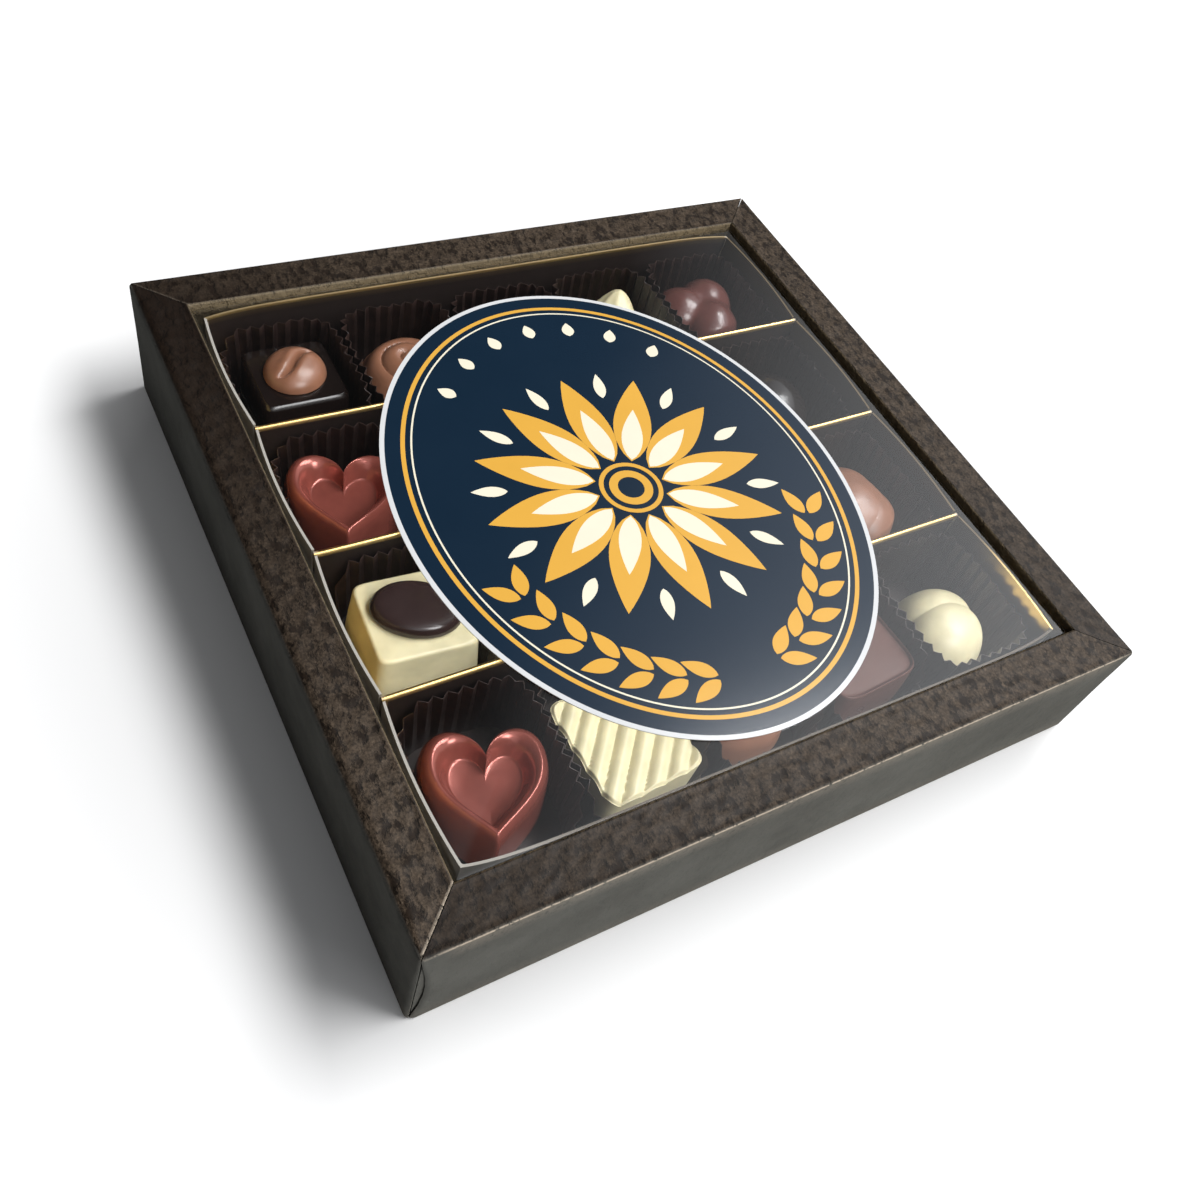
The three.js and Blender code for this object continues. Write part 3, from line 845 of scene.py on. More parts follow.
@dataclass(frozen=True)
class FloorFinish(Finish):
    """A plain white floor that keeps shadows and is white to the camera.

    Attributes:
        colour: The floor's own colour.
        lift: White added where the camera, a mirror or a pane looks at it.
        clear: Distance in metres from which it turns into a white backdrop.
    """

    colour: Colour = (0.79, 0.79, 0.79)
    lift: float = 0.03
    clear: float = 0.125

    def shader(self, sheet: Sheet) -> Socket:
        """Adds a little white light to a matt surface.

        Args:
            sheet: The material's tree.

        Returns:
            The surface's shader.
        """
        rays = sheet.add("LightPath").outputs
        seen = sheet.math("MAXIMUM", rays["Is Camera Ray"], rays["Is Glossy Ray"])
        seen = sheet.math("MAXIMUM", seen, rays["Is Transmission Ray"])
        away = sheet.add("VectorMath", {0: sheet.places()}, operation="LENGTH").outputs["Value"]
        far = sheet.range(away, self.clear, 3 * self.clear, 0.0, 1.0)
        far = sheet.math("MULTIPLY", far, rays["Is Camera Ray"])
        strength = sheet.math("ADD", sheet.math("MULTIPLY", seen, self.lift), far)
        matt = sheet.add("BsdfDiffuse", {"Color": self.colour}).outputs[0]
        glow = sheet.add("Emission", {"Color": (1.0, 1.0, 1.0), "Strength": strength}).outputs[0]
        return sheet.add("AddShader", {0: matt, 1: glow}).outputs[0]


BOARD = BoardFinish("dark_board")
GOLD = GoldCardFinish("gold_card")
FILM = FilmFinish("clear_film")
CUP_PAPER = CupPaperFinish("cup_paper")
NAVY = PrintFinish("label_navy", ink=(0.0055, 0.0175, 0.036))
WHITE = PrintFinish("label_white", ink=(0.66, 0.67, 0.68))
AMBER = PrintFinish("label_amber", ink=(0.72, 0.39, 0.06))
CREAM = PrintFinish("label_cream", ink=(0.84, 0.78, 0.62))
DARK = ChocolateFinish("dark_chocolate", colour=(0.0068, 0.0038, 0.0031), roughness=0.22)
CLUSTER = ChocolateFinish("cluster_chocolate", colour=(0.1, 0.037, 0.031), roughness=0.24)
CAP = ChocolateFinish("cap_chocolate", colour=(0.026, 0.0145, 0.0135), roughness=0.24)
MILK = ChocolateFinish("milk_chocolate", colour=(0.235, 0.105, 0.06), roughness=0.33, glow=0.05)
PILLOW = ChocolateFinish("pillow_chocolate", colour=(0.095, 0.043, 0.034), roughness=0.3, gloss=0.12)
RUBY = ChocolateFinish("ruby_chocolate", colour=(0.25, 0.066, 0.049), roughness=0.21, shimmer=0.42)
IVORY = ChocolateFinish("ivory_chocolate", colour=(0.655, 0.59, 0.37), roughness=0.38, glow=0.1)
NUT = ChocolateFinish("roasted_nut", colour=(0.50, 0.27, 0.11), roughness=0.6)


# Box


class Side(Enum):
    """The four sides of the box, by quarter turns from the front."""

    FRONT = 0
    RIGHT = 1
    BACK = 2
    LEFT = 3

    def place(self, along: Array, out: Array, height: Array) -> Array:
        """Places points of a side that are given along it, out from the box's middle, and up.

        Args:
            along: Distance from the side's middle, rightwards as seen from outside.
            out: Distance from the box's middle.
            height: Height above the floor.

        Returns:
            The points in the box's own frame.
        """
        points = np.stack(np.broadcast_arrays(along, -out, height), axis=-1)
        return turned(points, 90 * self.value)

    def across(self, half: Array) -> tuple[float, float]:
        """Gives half the side's length and its distance from the middle, from half sizes in X and Y."""
        return (half[1], half[0]) if self.value % 2 else (half[0], half[1])


@dataclass
class FrameTray:
    """The dark tray with hollow walls and a mitred rim, folded from one board.

    Attributes:
        rim: Width of the rim.
        board: Thickness of the board.
        inner_fold: Radius of the fold into the well.
        corner: Radius of the upright corners at half height.
        corner_top: Radius of the upright corners at the rim.
        bottom_fold: Radius of the fold under the walls.
        slit: Gap between two rim flaps.
        gape: Widest gap between the walls at the front left corner.
        relief: Depth of the coarse grain on the rim.
        fold: Radius of each side's outer fold.
        corner_fold: Radius of the outer folds at the corners.
        painted_light: Where along each side the rim's grain turns from dark in painted shade to its lit
            colour.
        paper_line: How pale the cut at each side's right end is.
        tab: Width of the tab behind the gap at the front left corner.
        bend_from: Share of a side's half length from which its ends bend into the corners.
        plain: Marks of board that is neither grained nor worn nor cut.
    """

    rim: float = 11.5
    board: float = 0.9
    inner_fold: float = 0.7
    corner: float = 1.9
    corner_top: float = 0.8
    bottom_fold: float = 1.0
    slit: float = 0.3
    gape: float = 2.3
    relief: float = 0.15
    fold: ClassVar[dict[Side, float]] = {
        Side.FRONT: 0.35, Side.RIGHT: 1.1, Side.BACK: 1.0, Side.LEFT: 2.4,
    }
    corner_fold: float = 0.9
    painted_light: ClassVar[dict[Side, tuple[float, float]]] = {
        Side.FRONT: (-2.0, 0.6), Side.RIGHT: (-2.2, 0.2), Side.BACK: (1.5, -0.2), Side.LEFT: (-0.9, 0.98),
    }
    paper_line: ClassVar[dict[Side, float]] = {
        Side.FRONT: 0.05, Side.RIGHT: 0.06, Side.BACK: 0.15, Side.LEFT: 1.0,
    }
    tab: float = 9.0
    bend_from: float = 0.985
    plain: ClassVar[dict[str, float]] = {"grain": 0.1, "wear_and_highlight": 0.0, "cut": 0.0, "inside": 0.0, "painted_light": 1.0}

    def build(self) -> None:
        """Builds the four sides, the floor and the tab."""
        low, high = node_box("frame_tray")
        self.half = (high - low)[:2] / 2
        self.height = high[2]
        for side in Side:
            self.build_side(side)
        self.build_floor()
        self.build_tab()

    def profile(self, fold: Array, inset: float) -> tuple[Array, Array]:
        """Gives the section of a hollow wall, from the foot outside over the rim down into the well.

        A quarter arc, the wall, a quarter arc, the rim, a quarter arc and the inner wall follow one another.

        Args:
            fold: Radius of the outer fold at each place along the side.
            inset: Depth of this skin under the outer one.

        Returns:
            Distance out from the well's edge and height, a row for each point of the section.
        """
        outer = np.maximum(fold - inset, 0.1)[None]
        inner = max(self.inner_fold - inset, 0.1)
        under = max(self.bottom_fold - inset, 0.1)
        rim, top, foot = self.rim - inset, self.height - inset, self.board
        up, bend, across = (np.linspace(0, 1, count)[:, None] for count in (7, 7, 25))
        turn = bend[1:-1] * math.pi / 2
        over = self.rim - fold[None] - (self.rim - fold[None] - self.inner_fold) * across
        heel = np.linspace(0, np.pi / 2, 6)[:-1, None]
        out = [rim - under + under * np.sin(heel) + 0 * outer]
        out += [rim + 0 * outer * up, rim - outer + outer * np.cos(turn), over]
        out += [inset + inner - inner * np.sin(turn) + 0 * outer, inset + 0 * outer * up]
        height = [inset + under - under * np.cos(heel) + 0 * outer]
        height += [inset + under + (top - outer - inset - under) * up]
        height += [top - outer + outer * np.sin(turn), top + 0 * over]
        height += [top - inner + inner * np.cos(turn) + 0 * outer]
        height += [top - inner + (foot - top + inner) * up + 0 * outer]
        return np.concatenate(out), np.concatenate(height)

    def build_side(self, side: Side) -> None:
        """Builds one side as a folded sheet whose ends are mitred.

        Args:
            side: Which side.
        """
        half_length, distance = side.across(self.half - self.rim)
        bend = np.linspace(self.bend_from, 1, 9)
        straight = np.linspace(-self.bend_from, self.bend_from, 221)[1:-1]
        share = np.concatenate([-bend[::-1], straight, bend])
        near_end = smooth_step(np.abs(share), 0.9, 1.0)
        fold = self.fold[side] + (self.corner_fold - self.fold[side]) * near_end
        skins = [self.profile(fold, inset) for inset in (0.0, self.board)]
        out = np.concatenate([skins[0][0], skins[1][0][::-1]])
        height = np.concatenate([skins[0][1], skins[1][1][::-1]])
        level = height / self.height
        radius = self.corner_top + (self.corner - self.corner_top) * smooth_step(1 - level, 0.02, 0.45)
        radius = np.maximum(radius - (self.rim - out), 0.02)
        on_rim = smooth_step(level, 0.93, 0.985)
        reach = half_length + out - radius
        arc = np.clip((np.abs(share) - self.bend_from) / (1 - self.bend_from), 0, 1)[None] * math.pi / 4
        run = np.minimum(np.abs(share) / self.bend_from, 1)
        along = np.sign(share) * (reach * run + radius * np.sin(arc))
        along -= np.sign(share) * on_rim * self.slit / 2
        if side is Side.FRONT:
            leaf = np.sin(np.pi * np.clip(1 - level, 0, 1) ** 1.3) ** 0.8 * smooth_step(1 - level, 0.03, 0.12)
            along += self.gape * leaf * smooth_step(-share, 0.9, 1.0)
        pull = radius * (1 - np.cos(arc))
        x, y, _ = np.moveaxis(side.place(along, distance + out, height), -1, 0)
        top_skin = np.arange(len(out))[:, None] < len(out) // 2
        on_top = smooth_step(out, 0.3, 1.5) * smooth_step(self.rim - out, 0.3, 1.8) * on_rim * top_skin
        bumps = 0.6 * lattice_noise(x, y, 2.3, 3) + 0.4 * lattice_noise(x + 9, y - 4, 1.1, 4)
        sink = on_top * self.relief * (bumps - 1)
        points = side.place(along, distance + out - pull, height + sink)
        grain = np.clip(on_rim * smooth_step(self.rim - out, 0.0, 0.9) + 0.12, 0, 1) * top_skin
        # Worn paper along the rim's outer top edge (crest) and a painted highlight along the bottom fold
        # (foot), both in one mark.
        crest = np.exp(-(((self.rim - out - 0.1) / 0.16) ** 2) - ((self.height - height) / 0.3) ** 2)
        foot = np.exp(-(((height - 0.6) / 0.3) ** 2)) * smooth_step(out, self.rim - 0.9, self.rim - 0.3)
        wear_and_highlight = np.clip(crest * (1.0 if side is Side.FRONT else 0.35) + 0.5 * foot * top_skin, 0, 1)
        edge = smooth_step(np.abs(along), half_length + out - 0.4, half_length + out - 0.18) * on_rim
        cut = edge * np.where(share[None] > 0, self.paper_line[side], 0.0)
        # The well's walls, which take the pale tan of painted light.
        inside = smooth_step(-out, -0.5, -0.1) * top_skin
        # Painted light along each side: 0 leaves the rim's grain dark in shade, 1 shows its lit colour.
        painted_light = smooth_step(share, *self.painted_light[side])
        marks = {"grain": grain, "wear_and_highlight": wear_and_highlight, "cut": cut, "inside": inside, "painted_light": painted_light}
        skin = Skin().grid(points, rows_close=True, **marks)
        skin.end_caps(points, **{**self.plain, "grain": 0.0})
        name = f"tray_side_{side.name.lower()}"
        skin.piece(name, "tray", BOARD, replaces=("frame_tray",), slot="board", sharp=50)

    def build_floor(self) -> None:
        """Builds the board's floor inside the walls as a slab with soft edges."""
        outline = superellipse(*(self.half - self.bottom_fold - 0.02), 60, 240)
        under = [(0, 0), (0.5, 0), (0.998, 0), (1, 0.15)]
        over = [(1, self.board - 0.15), (0.998, self.board), (0.5, self.board), (0, self.board)]
        rows = np.array(under + over)
        skin = Skin().grid(loft(outline, rows), columns_close=True, **self.plain)
        skin.piece("tray_floor", "tray", BOARD, replaces=("frame_tray",), slot="board")

    def build_tab(self) -> None:
        """Builds the left wall's tab, a thin upright slab behind the front wall's left end."""
        left = -self.half[0] + 1.3
        along = np.linspace(left, left + self.tab, 8)
        loop = np.array([(1.0, 1.0), (1.0, self.height - 1.2), (1.5, self.height - 1.2), (1.5, 1.0)])
        points = Side.FRONT.place(along, self.half[1] - loop[:, :1], loop[:, 1:])
        skin = Skin().grid(points, rows_close=True, **self.plain).end_caps(points, **self.plain)
        skin.piece("tray_tab", "tray", BOARD, replaces=("frame_tray",), slot="board")


@dataclass
class GoldInsert:
    """The gold card tray on legs, with three folded dividers in its slots.

    Attributes:
        card: Thickness of the card.
        rise: Height of the legs.
        slot_depth: Depth of the dividers' slots.
        slot_play: Room beside a divider in its slot.
        bow: How far the side walls bulge between two dividers.
        end_bow: How far the front and back walls bulge.
        ply: Thickness of one ply of a divider.
        sway: How far a divider strays from a straight line.
        bare_edge: How much bare card each wall shows at its left end and along the rest.
        painted_shade_amount: How strong the painted shade on each wall's foil is in the depth.
        dividers: Construction nodes of the dividers, from the back.
        drops: Depths under a wall's top at which its rows of points lie.
        lap_rows: How many of those rows, from the top, the foil laps over outside.
    """

    card: float = 0.6
    rise: float = 7.2
    slot_depth: float = 11.0
    slot_play: float = 0.25
    bow: float = 1.35
    end_bow: float = 2.1
    ply: float = 0.45
    sway: float = 0.25
    bare_edge: ClassVar[dict[Side, tuple[float, float]]] = {
        Side.FRONT: (0.9, 0.12), Side.RIGHT: (0.0, 0.0), Side.BACK: (0.25, 0.25), Side.LEFT: (1.0, 1.0),
    }
    painted_shade_amount: ClassVar[dict[Side, float]] = {
        Side.FRONT: 1.0, Side.RIGHT: 0.9, Side.BACK: 1.0, Side.LEFT: 0.0,
    }
    dividers: ClassVar[tuple[str, ...]] = ("row_divider_1", "row_divider_2", "row_divider_3")
    drops: ClassVar[tuple[float, ...]] = (0.0, 0.06, 0.8, 2.5, 2.9, 6.0, 12.0, 23.0)
    lap_rows: int = 4

    def build(self) -> None:
        """Builds the walls, the floor and the dividers."""
        low, high = node_box("gold_insert")
        self.half, self.foot, self.top = high[:2], low[2], high[2]
        self.floor = self.foot + self.rise + self.card
        for side in Side:
            self.build_wall(side)
        self.build_floor()
        for index, name in enumerate(self.dividers):
            self.build_divider(name, index)

    def bulge(self, side: Side, along: Array) -> Array:
        """Gives how far a wall bulges at its top: an arch in each bay between dividers.

        Args:
            side: Which wall.
            along: Distance from the wall's middle.

        Returns:
            The bulge.
        """
        share = along / side.across(self.half)[0]
        if side.value % 2 == 0:
            return self.end_bow * (1 - np.abs(share) ** 10)
        return self.bow * np.abs(np.sin(np.pi * (share + 1) / 2 * (len(self.dividers) + 1))) ** 0.9

    def slots(self, side: Side) -> list[tuple[float, float]]:
        """Gives the slots of a wall, which only the left and right walls have.

        Args:
            side: Which wall.

        Returns:
            The middle and half the width of each slot, along the wall.
        """
        if side.value % 2 == 0:
            return []
        way = 1 if side is Side.RIGHT else -1
        ends = [(low[1], high[1]) for low, high in map(node_box, self.dividers)]
        return [((low + high) / 2 * way, (high - low) / 2 + self.slot_play) for low, high in ends]

    def build_wall(self, side: Side) -> None:
        """Builds one wall with its folded leg, its slots and its bare cut edge.

        Args:
            side: Which wall.
        """
        length, distance = side.across(self.half)
        along = np.linspace(-length, length, 161)
        for middle, half_slot in self.slots(side):
            ends = np.array([middle - half_slot, middle + half_slot])
            along = along[np.abs(along - middle) > half_slot + 0.1]
            along = np.concatenate([along, ends, ends + (-0.01, 0.01)])
        along = np.sort(along)
        slot = np.zeros_like(along)
        for middle, half_slot in self.slots(side):
            slot += np.abs(along - middle) < half_slot + 0.005
        top = self.top - slot * self.slot_depth
        card, under = self.card, self.floor - self.card
        drop = np.array(self.drops)[:, None] / (self.top - self.floor)
        walls = top - (top - self.floor) * np.clip(drop, 0, 1)
        legs = np.broadcast_to(np.array([under, self.foot, self.foot, under])[:, None], (4, len(along)))
        height = np.concatenate([walls, legs, walls[::-1]])
        count = len(self.drops)
        inward = np.concatenate([np.full(count, card), [2 * card, 2 * card, 0, 0], np.zeros(count)])[:, None]
        out = distance - inward + self.bulge(side, along) * smooth_step(height, self.floor, self.top)
        mitre = np.clip(along, -(length - inward), length - inward)
        points = side.place(mitre, out, height)
        at_end, further = self.bare_edge[side]
        shown = at_end + (further - at_end) * smooth_step(along / length, -0.95, -0.6)
        row = np.arange(len(height))[:, None]
        on_lap = row >= len(height) - self.lap_rows
        outside = (row >= count + 2) & ~on_lap
        bare = ((row == 0) | on_lap) * shown + outside
        # Painted shade: the foil of the front, right and back walls darkens downwards from their tops; the
        # left wall has none, and the right wall none near its front end.
        start = -0.2 if side is Side.BACK else -1.0
        depth = self.painted_shade_amount[side] * smooth_step(self.top - height, start, start + 1.2)
        if side is Side.RIGHT:
            depth = depth * smooth_step(along / length, -0.78, -0.6)
        skin = Skin().grid(points, rows_close=True, cut=bare, depth=depth)
        skin.end_caps(points, cut=1.0, depth=0.0)
        name = f"insert_wall_{side.name.lower()}"
        skin.piece(name, "insert", GOLD, replaces=("gold_insert",), slot="gold_card", sharp=30)

    def build_floor(self) -> None:
        """Builds the raised floor as a thin slab, all of it in painted shade."""
        outline = superellipse(*(self.half - self.card - 0.02), 80, 200)
        low, high = self.floor - self.card, self.floor
        rows = np.array([[0, low], [0.6, low], [1, low], [1, high], [0.6, high], [0, high]])
        skin = Skin().grid(loft(outline, rows), columns_close=True, cut=0.0, depth=1.0)
        skin.piece("insert_floor", "insert", GOLD, replaces=("gold_insert",), slot="gold_card", sharp=30)

    def build_divider(self, name: str, index: int) -> None:
        """Builds one divider, a strip folded double over a round top, with tabs at its ends.

        Args:
            name: Its construction node.
            index: Its number from the back.
        """
        low, high = node_box(name)
        half_width, middle = (high[1] - low[1]) / 2, (high[1] + low[1]) / 2
        gap = half_width - self.ply
        turn = np.linspace(0, np.pi, 9)
        shoulder = high[2] - half_width
        step = high[2] - self.slot_depth
        wall = np.array([low[2], step - 0.02, step, (step + shoulder) / 2, shoulder - 0.6])
        rows = np.ones(len(wall))
        outer_y = np.concatenate([half_width * rows, half_width * np.cos(turn), -half_width * rows])
        outer_z = np.concatenate([wall, shoulder + half_width * np.sin(turn), wall[::-1]])
        inner_y = np.concatenate([-gap * rows, gap * np.cos(turn[::-1]), gap * rows])
        inner_z = np.concatenate([wall, shoulder + gap * np.sin(turn), wall[::-1]])
        across = np.concatenate([outer_y, inner_y])[:, None]
        height = np.concatenate([outer_z, inner_z])[:, None]
        share = np.linspace(-1, 1, 121)[None]
        tab_end = np.where(height >= step, high[0], high[0] - self.card - self.slot_play)
        x = share * tab_end
        held = 1 - share**4
        wander = self.sway * held * np.sin(3.1 * share + 1.7 * index)
        dip = 0.12 * held * (np.cos(5 * share + index) - 1) * smooth_step(height, low[2], high[2])
        y = middle + across + wander * smooth_step(height, low[2], high[2])
        points = np.stack(np.broadcast_arrays(x, y, height + dip), axis=-1)
        # Painted shade: the divider's foil darkens from just under its round top downwards.
        depth = smooth_step(high[2] - height, 0.2, 1.2)
        skin = Skin().grid(points, rows_close=True, cut=0.0, depth=depth)
        skin.end_caps(points, cut=0.8, depth=0.0)
        skin.piece(name + "_strip", "insert", GOLD, replaces=(name,), slot="gold_card", sharp=35)


@dataclass
class ClearLid:
    """The clear cover with its folded skirt.

    Attributes:
        film: Thickness of the sheet.
        spread: How far the walls inside push the skirt out, in X and Y.
        fold_highlight: How strong the painted white highlight on the folds is.
        fold: Radius of the folds.
        corner: Radius of the upright corners.
        wave: How far the panel strays from flat.
        ripple: Size of the panel's waves.
    """

    film: float = 0.3
    spread: tuple[float, float] = (1.6, 1.75)
    fold_highlight: float = 0.12
    fold: float = 0.55
    corner: float = 0.9
    wave: float = 0.12
    ripple: float = 38.0

    def build(self) -> None:
        """Builds the cover as one thin shell that fills the well."""
        low, high = node_box("clear_lid")
        shell = [self.skin_rows(low, high, inset) for inset in (0.0, self.film)]
        points = np.concatenate([shell[0][0], shell[1][0][::-1]])
        fold = np.concatenate([shell[0][1], shell[1][1][::-1]])
        skin = Skin().grid(points, columns_close=True, fold=fold)
        skin.piece("lid_cover", "lid", FILM, replaces=("clear_lid",), slot="clear_film", sharp=60)

    def skin_rows(self, low: Array, high: Array, inset: float) -> tuple[Array, Array]:
        """Carries a section from the panel's middle over the fold down the skirt, round the cover.

        Args:
            low: Lowest corner of the cover.
            high: Highest corner of the cover.
            inset: Depth of this skin under the outer one.

        Returns:
            The points, and how much painted highlight each has on the fold.
        """
        outline = self.outline(high[:2] + np.array(self.spread) - inset)
        away = outward(outline)
        turn = np.linspace(0, np.pi / 2, 6)[1:]
        radius = self.fold - 0.9 * inset
        panel = np.concatenate([np.linspace(0, 0.97, 10)[:-1], np.linspace(0.97, 1, 5)])
        skirt = np.linspace(0, 1, 6)[1:]
        inner = outline - radius * away
        plan = [inner[None] * panel[:, None, None]]
        plan += [inner[None] + away[None] * (radius * np.sin(turn))[:, None, None]]
        plan += [np.broadcast_to(outline[None], (5, *outline.shape))]
        plan = np.concatenate(plan)
        top = high[2] - inset
        over = top - radius * (1 - np.cos(turn))
        down = top - radius - (top - radius - low[2]) * skirt
        height = np.concatenate([np.full(len(panel), top), over, down])[:, None]
        middle = 1 - smooth_step(np.concatenate([panel, np.ones(10)]), 0.85, 1.0)[:, None]
        ripple = lattice_noise(plan[..., 0], plan[..., 1], self.ripple, 21) - 1
        height = height + self.wave * ripple * middle
        # Painted highlight along the crest of the fold, just past the panel's edge.
        crest = np.exp(-(((np.arange(len(plan)) - len(panel) - 1.5) / 1.2) ** 2))
        fold = self.fold_highlight * np.broadcast_to(crest[:, None], plan.shape[:2])
        return lifted(plan, height), fold

    def outline(self, half: Array) -> Array:
        """Gives a rectangle with small round corners, evenly spaced, counter-clockwise.

        Args:
            half: Its half sizes.

        Returns:
            The outline.
        """
        turn = np.linspace(0, np.pi / 2, 7)
        centres = half - self.corner
        arc = self.corner * unit_vectors(turn)
        quarter = [turned(np.column_stack([arc, 0 * turn]), 90 * k)[:, :2] for k in range(4)]
        signs = [(1, 1), (-1, 1), (-1, -1), (1, -1)]
        corners = [points + centres * sign for points, sign in zip(quarter, signs)]
        return even_loop(np.concatenate(corners), 520)


@dataclass
class LidLabel:
    """The oval label: a navy field in a white border, with a flower, leaves and lozenges.

    Attributes:
        border: Width of the white border.
        ring_inset: From the label's edge to the amber ring.
        ring_width: Width of that ring.
        inner_ring: From the amber ring's outside to the cream one's, and the cream one's width.
        flower: Radius of the flower.
        petals: How many petals it has.
        leaves: How many leaves hang on each side.
        layer: Thickness of one printed layer.
    """

    border: float = 1.2
    ring_inset: float = 5.0
    ring_width: float = 1.1
    inner_ring: tuple[float, float] = (2.4, 0.45)
    flower: float = 39.0
    petals: int = 12
    leaves: int = 7
    layer: float = 0.035

    def build(self) -> None:
        """Builds the label's layers from the film upwards."""
        low, high = node_box("lid_label")
        self.half, self.middle = (high - low)[:2] / 2, (high + low)[:2] / 2
        self.level = high[2] - 4 * self.layer
        self.base = low[2] - 0.2
        self.oval("label_border", 0.0, None, 0, WHITE, replaces=("lid_label",))
        self.oval("label_field", self.border, None, 1, NAVY)
        self.oval("label_ring", self.ring_inset, self.ring_width, 2, AMBER)
        gap, width = self.inner_ring
        self.oval("label_inner_ring", self.ring_inset + gap, width, 2, CREAM)
        self.build_flower()
        self.build_leaves()

    def slab(self, plan: Array, layer: int) -> Array:
        """Gives a thin closed band over a plan grid whose rows run across it.

        Args:
            plan: Rows by columns of plan points.
            layer: Which printed layer it is.

        Returns:
            Points for a grid whose rows close.
        """
        top = self.level + layer * self.layer
        bottom = self.base if layer == 0 else top - 1.6 * self.layer
        plan = plan + self.middle
        return np.concatenate([lifted(plan, top), lifted(plan, bottom)[::-1]])

    def oval(
        self,
        name: str,
        inset: float,
        width: float | None,
        layer: int,
        finish: Finish,
        replaces: tuple[str, ...] = (),
    ) -> None:
        """Builds an oval field or ring.

        Args:
            name: The piece's name.
            inset: From the label's edge.
            width: Width of a ring, or None for a full field.
            layer: Which printed layer it is.
            finish: Its ink.
            replaces: Construction nodes that it stands for.
        """
        outline = superellipse(*(self.half - inset), 2, 240)
        inner = 0 * outline if width is None else outline - width * outward(outline)
        plan = np.stack([inner, (inner + outline) / 2, outline])
        skin = Skin().grid(self.slab(plan, layer), rows_close=width is not None, columns_close=True)
        skin.piece(name, "lid", finish, replaces=replaces, slot="label_paper")

    def blades(self, middles: Array, angles: Array, length: float, width: float, layer: int) -> Skin:
        """Gives pointed leaves, each a lens along its own line.

        Args:
            middles: Where each one's root is.
            angles: Which way each one points.
            length: Length of one.
            width: Width of one.
            layer: Which printed layer they are.

        Returns:
            The skin of all of them.
        """
        along = np.linspace(0, 1, 15)
        swell = width / 2 * np.sin(np.pi * along**0.8) ** 0.9
        across = np.linspace(-1, 1, 5)
        skin = Skin()
        for root, angle in zip(middles, angles):
            forward = np.array([math.cos(angle), math.sin(angle)])
            aside = np.array([-forward[1], forward[0]])
            spread = (across[:, None] * swell)[..., None] * aside
            plan = root + length * along[None, :, None] * forward + spread
            skin.grid(self.slab(plan, layer), rows_close=True)
        return skin

    def build_flower(self) -> None:
        """Builds the flower in the middle: two whorls of petals, a ring and a heart of dots."""
        angles = np.arange(self.petals) * FULL_TURN / self.petals + math.pi / 2
        spokes = unit_vectors(angles)
        outer = self.blades(9 * spokes, angles, self.flower - 9, 0.26 * self.flower, 2)
        outer.piece("label_outer_petals", "lid", AMBER, slot="label_paper")
        inner = self.blades(9.5 * spokes, angles, 0.62 * self.flower - 6, 5.6, 3)
        inner.piece("label_inner_petals", "lid", CREAM, slot="label_paper")
        between = angles + math.pi / self.petals
        gaps = unit_vectors(between)
        tips = self.blades(0.8 * self.flower * gaps, between, 9.0, 3.2, 2)
        tips.piece("label_petal_tips", "lid", CREAM, slot="label_paper")
        disc = superellipse(1, 1, 2, 96)
        eye = Skin()
        for inner_radius, outer_radius in ((7.0, 8.2), (3.4, 5.6)):
            plan = np.stack([inner_radius * disc, outer_radius * disc])
            eye.grid(self.slab(plan, 4), rows_close=True, columns_close=True)
        eye.piece("label_flower_eye", "lid", AMBER, slot="label_paper")

    def build_leaves(self) -> None:
        """Builds two sprays of leaves below the flower and a row of lozenges above it."""
        step = np.arange(self.leaves)
        roots, ways = [], []
        for side in (1, -1):
            angle = -math.pi / 2 + side * (0.2 + 0.165 * step)
            path = (self.half - 15.5)[None] * unit_vectors(angle)
            for lean in (0.55, -0.55):
                way = angle + side * math.pi / 2 + lean
                aside = way + math.copysign(math.pi / 2, lean)
                roots.append(path + 0.75 * unit_vectors(aside))
                ways.append(way)
        leaves = self.blades(np.concatenate(roots), np.concatenate(ways), 9.0, 3.8, 2)
        leaves.piece("label_leaves", "lid", AMBER, slot="label_paper")
        angle = math.pi / 2 + np.linspace(-0.75, 0.75, 7)
        path = (self.half - 14.0)[None] * unit_vectors(angle)
        lozenges = self.blades(path - 2.6 * unit_vectors(angle), angle, 5.2, 3.4, 2)
        lozenges.piece("label_lozenges", "lid", CREAM, slot="label_paper")


# Cups and pralines


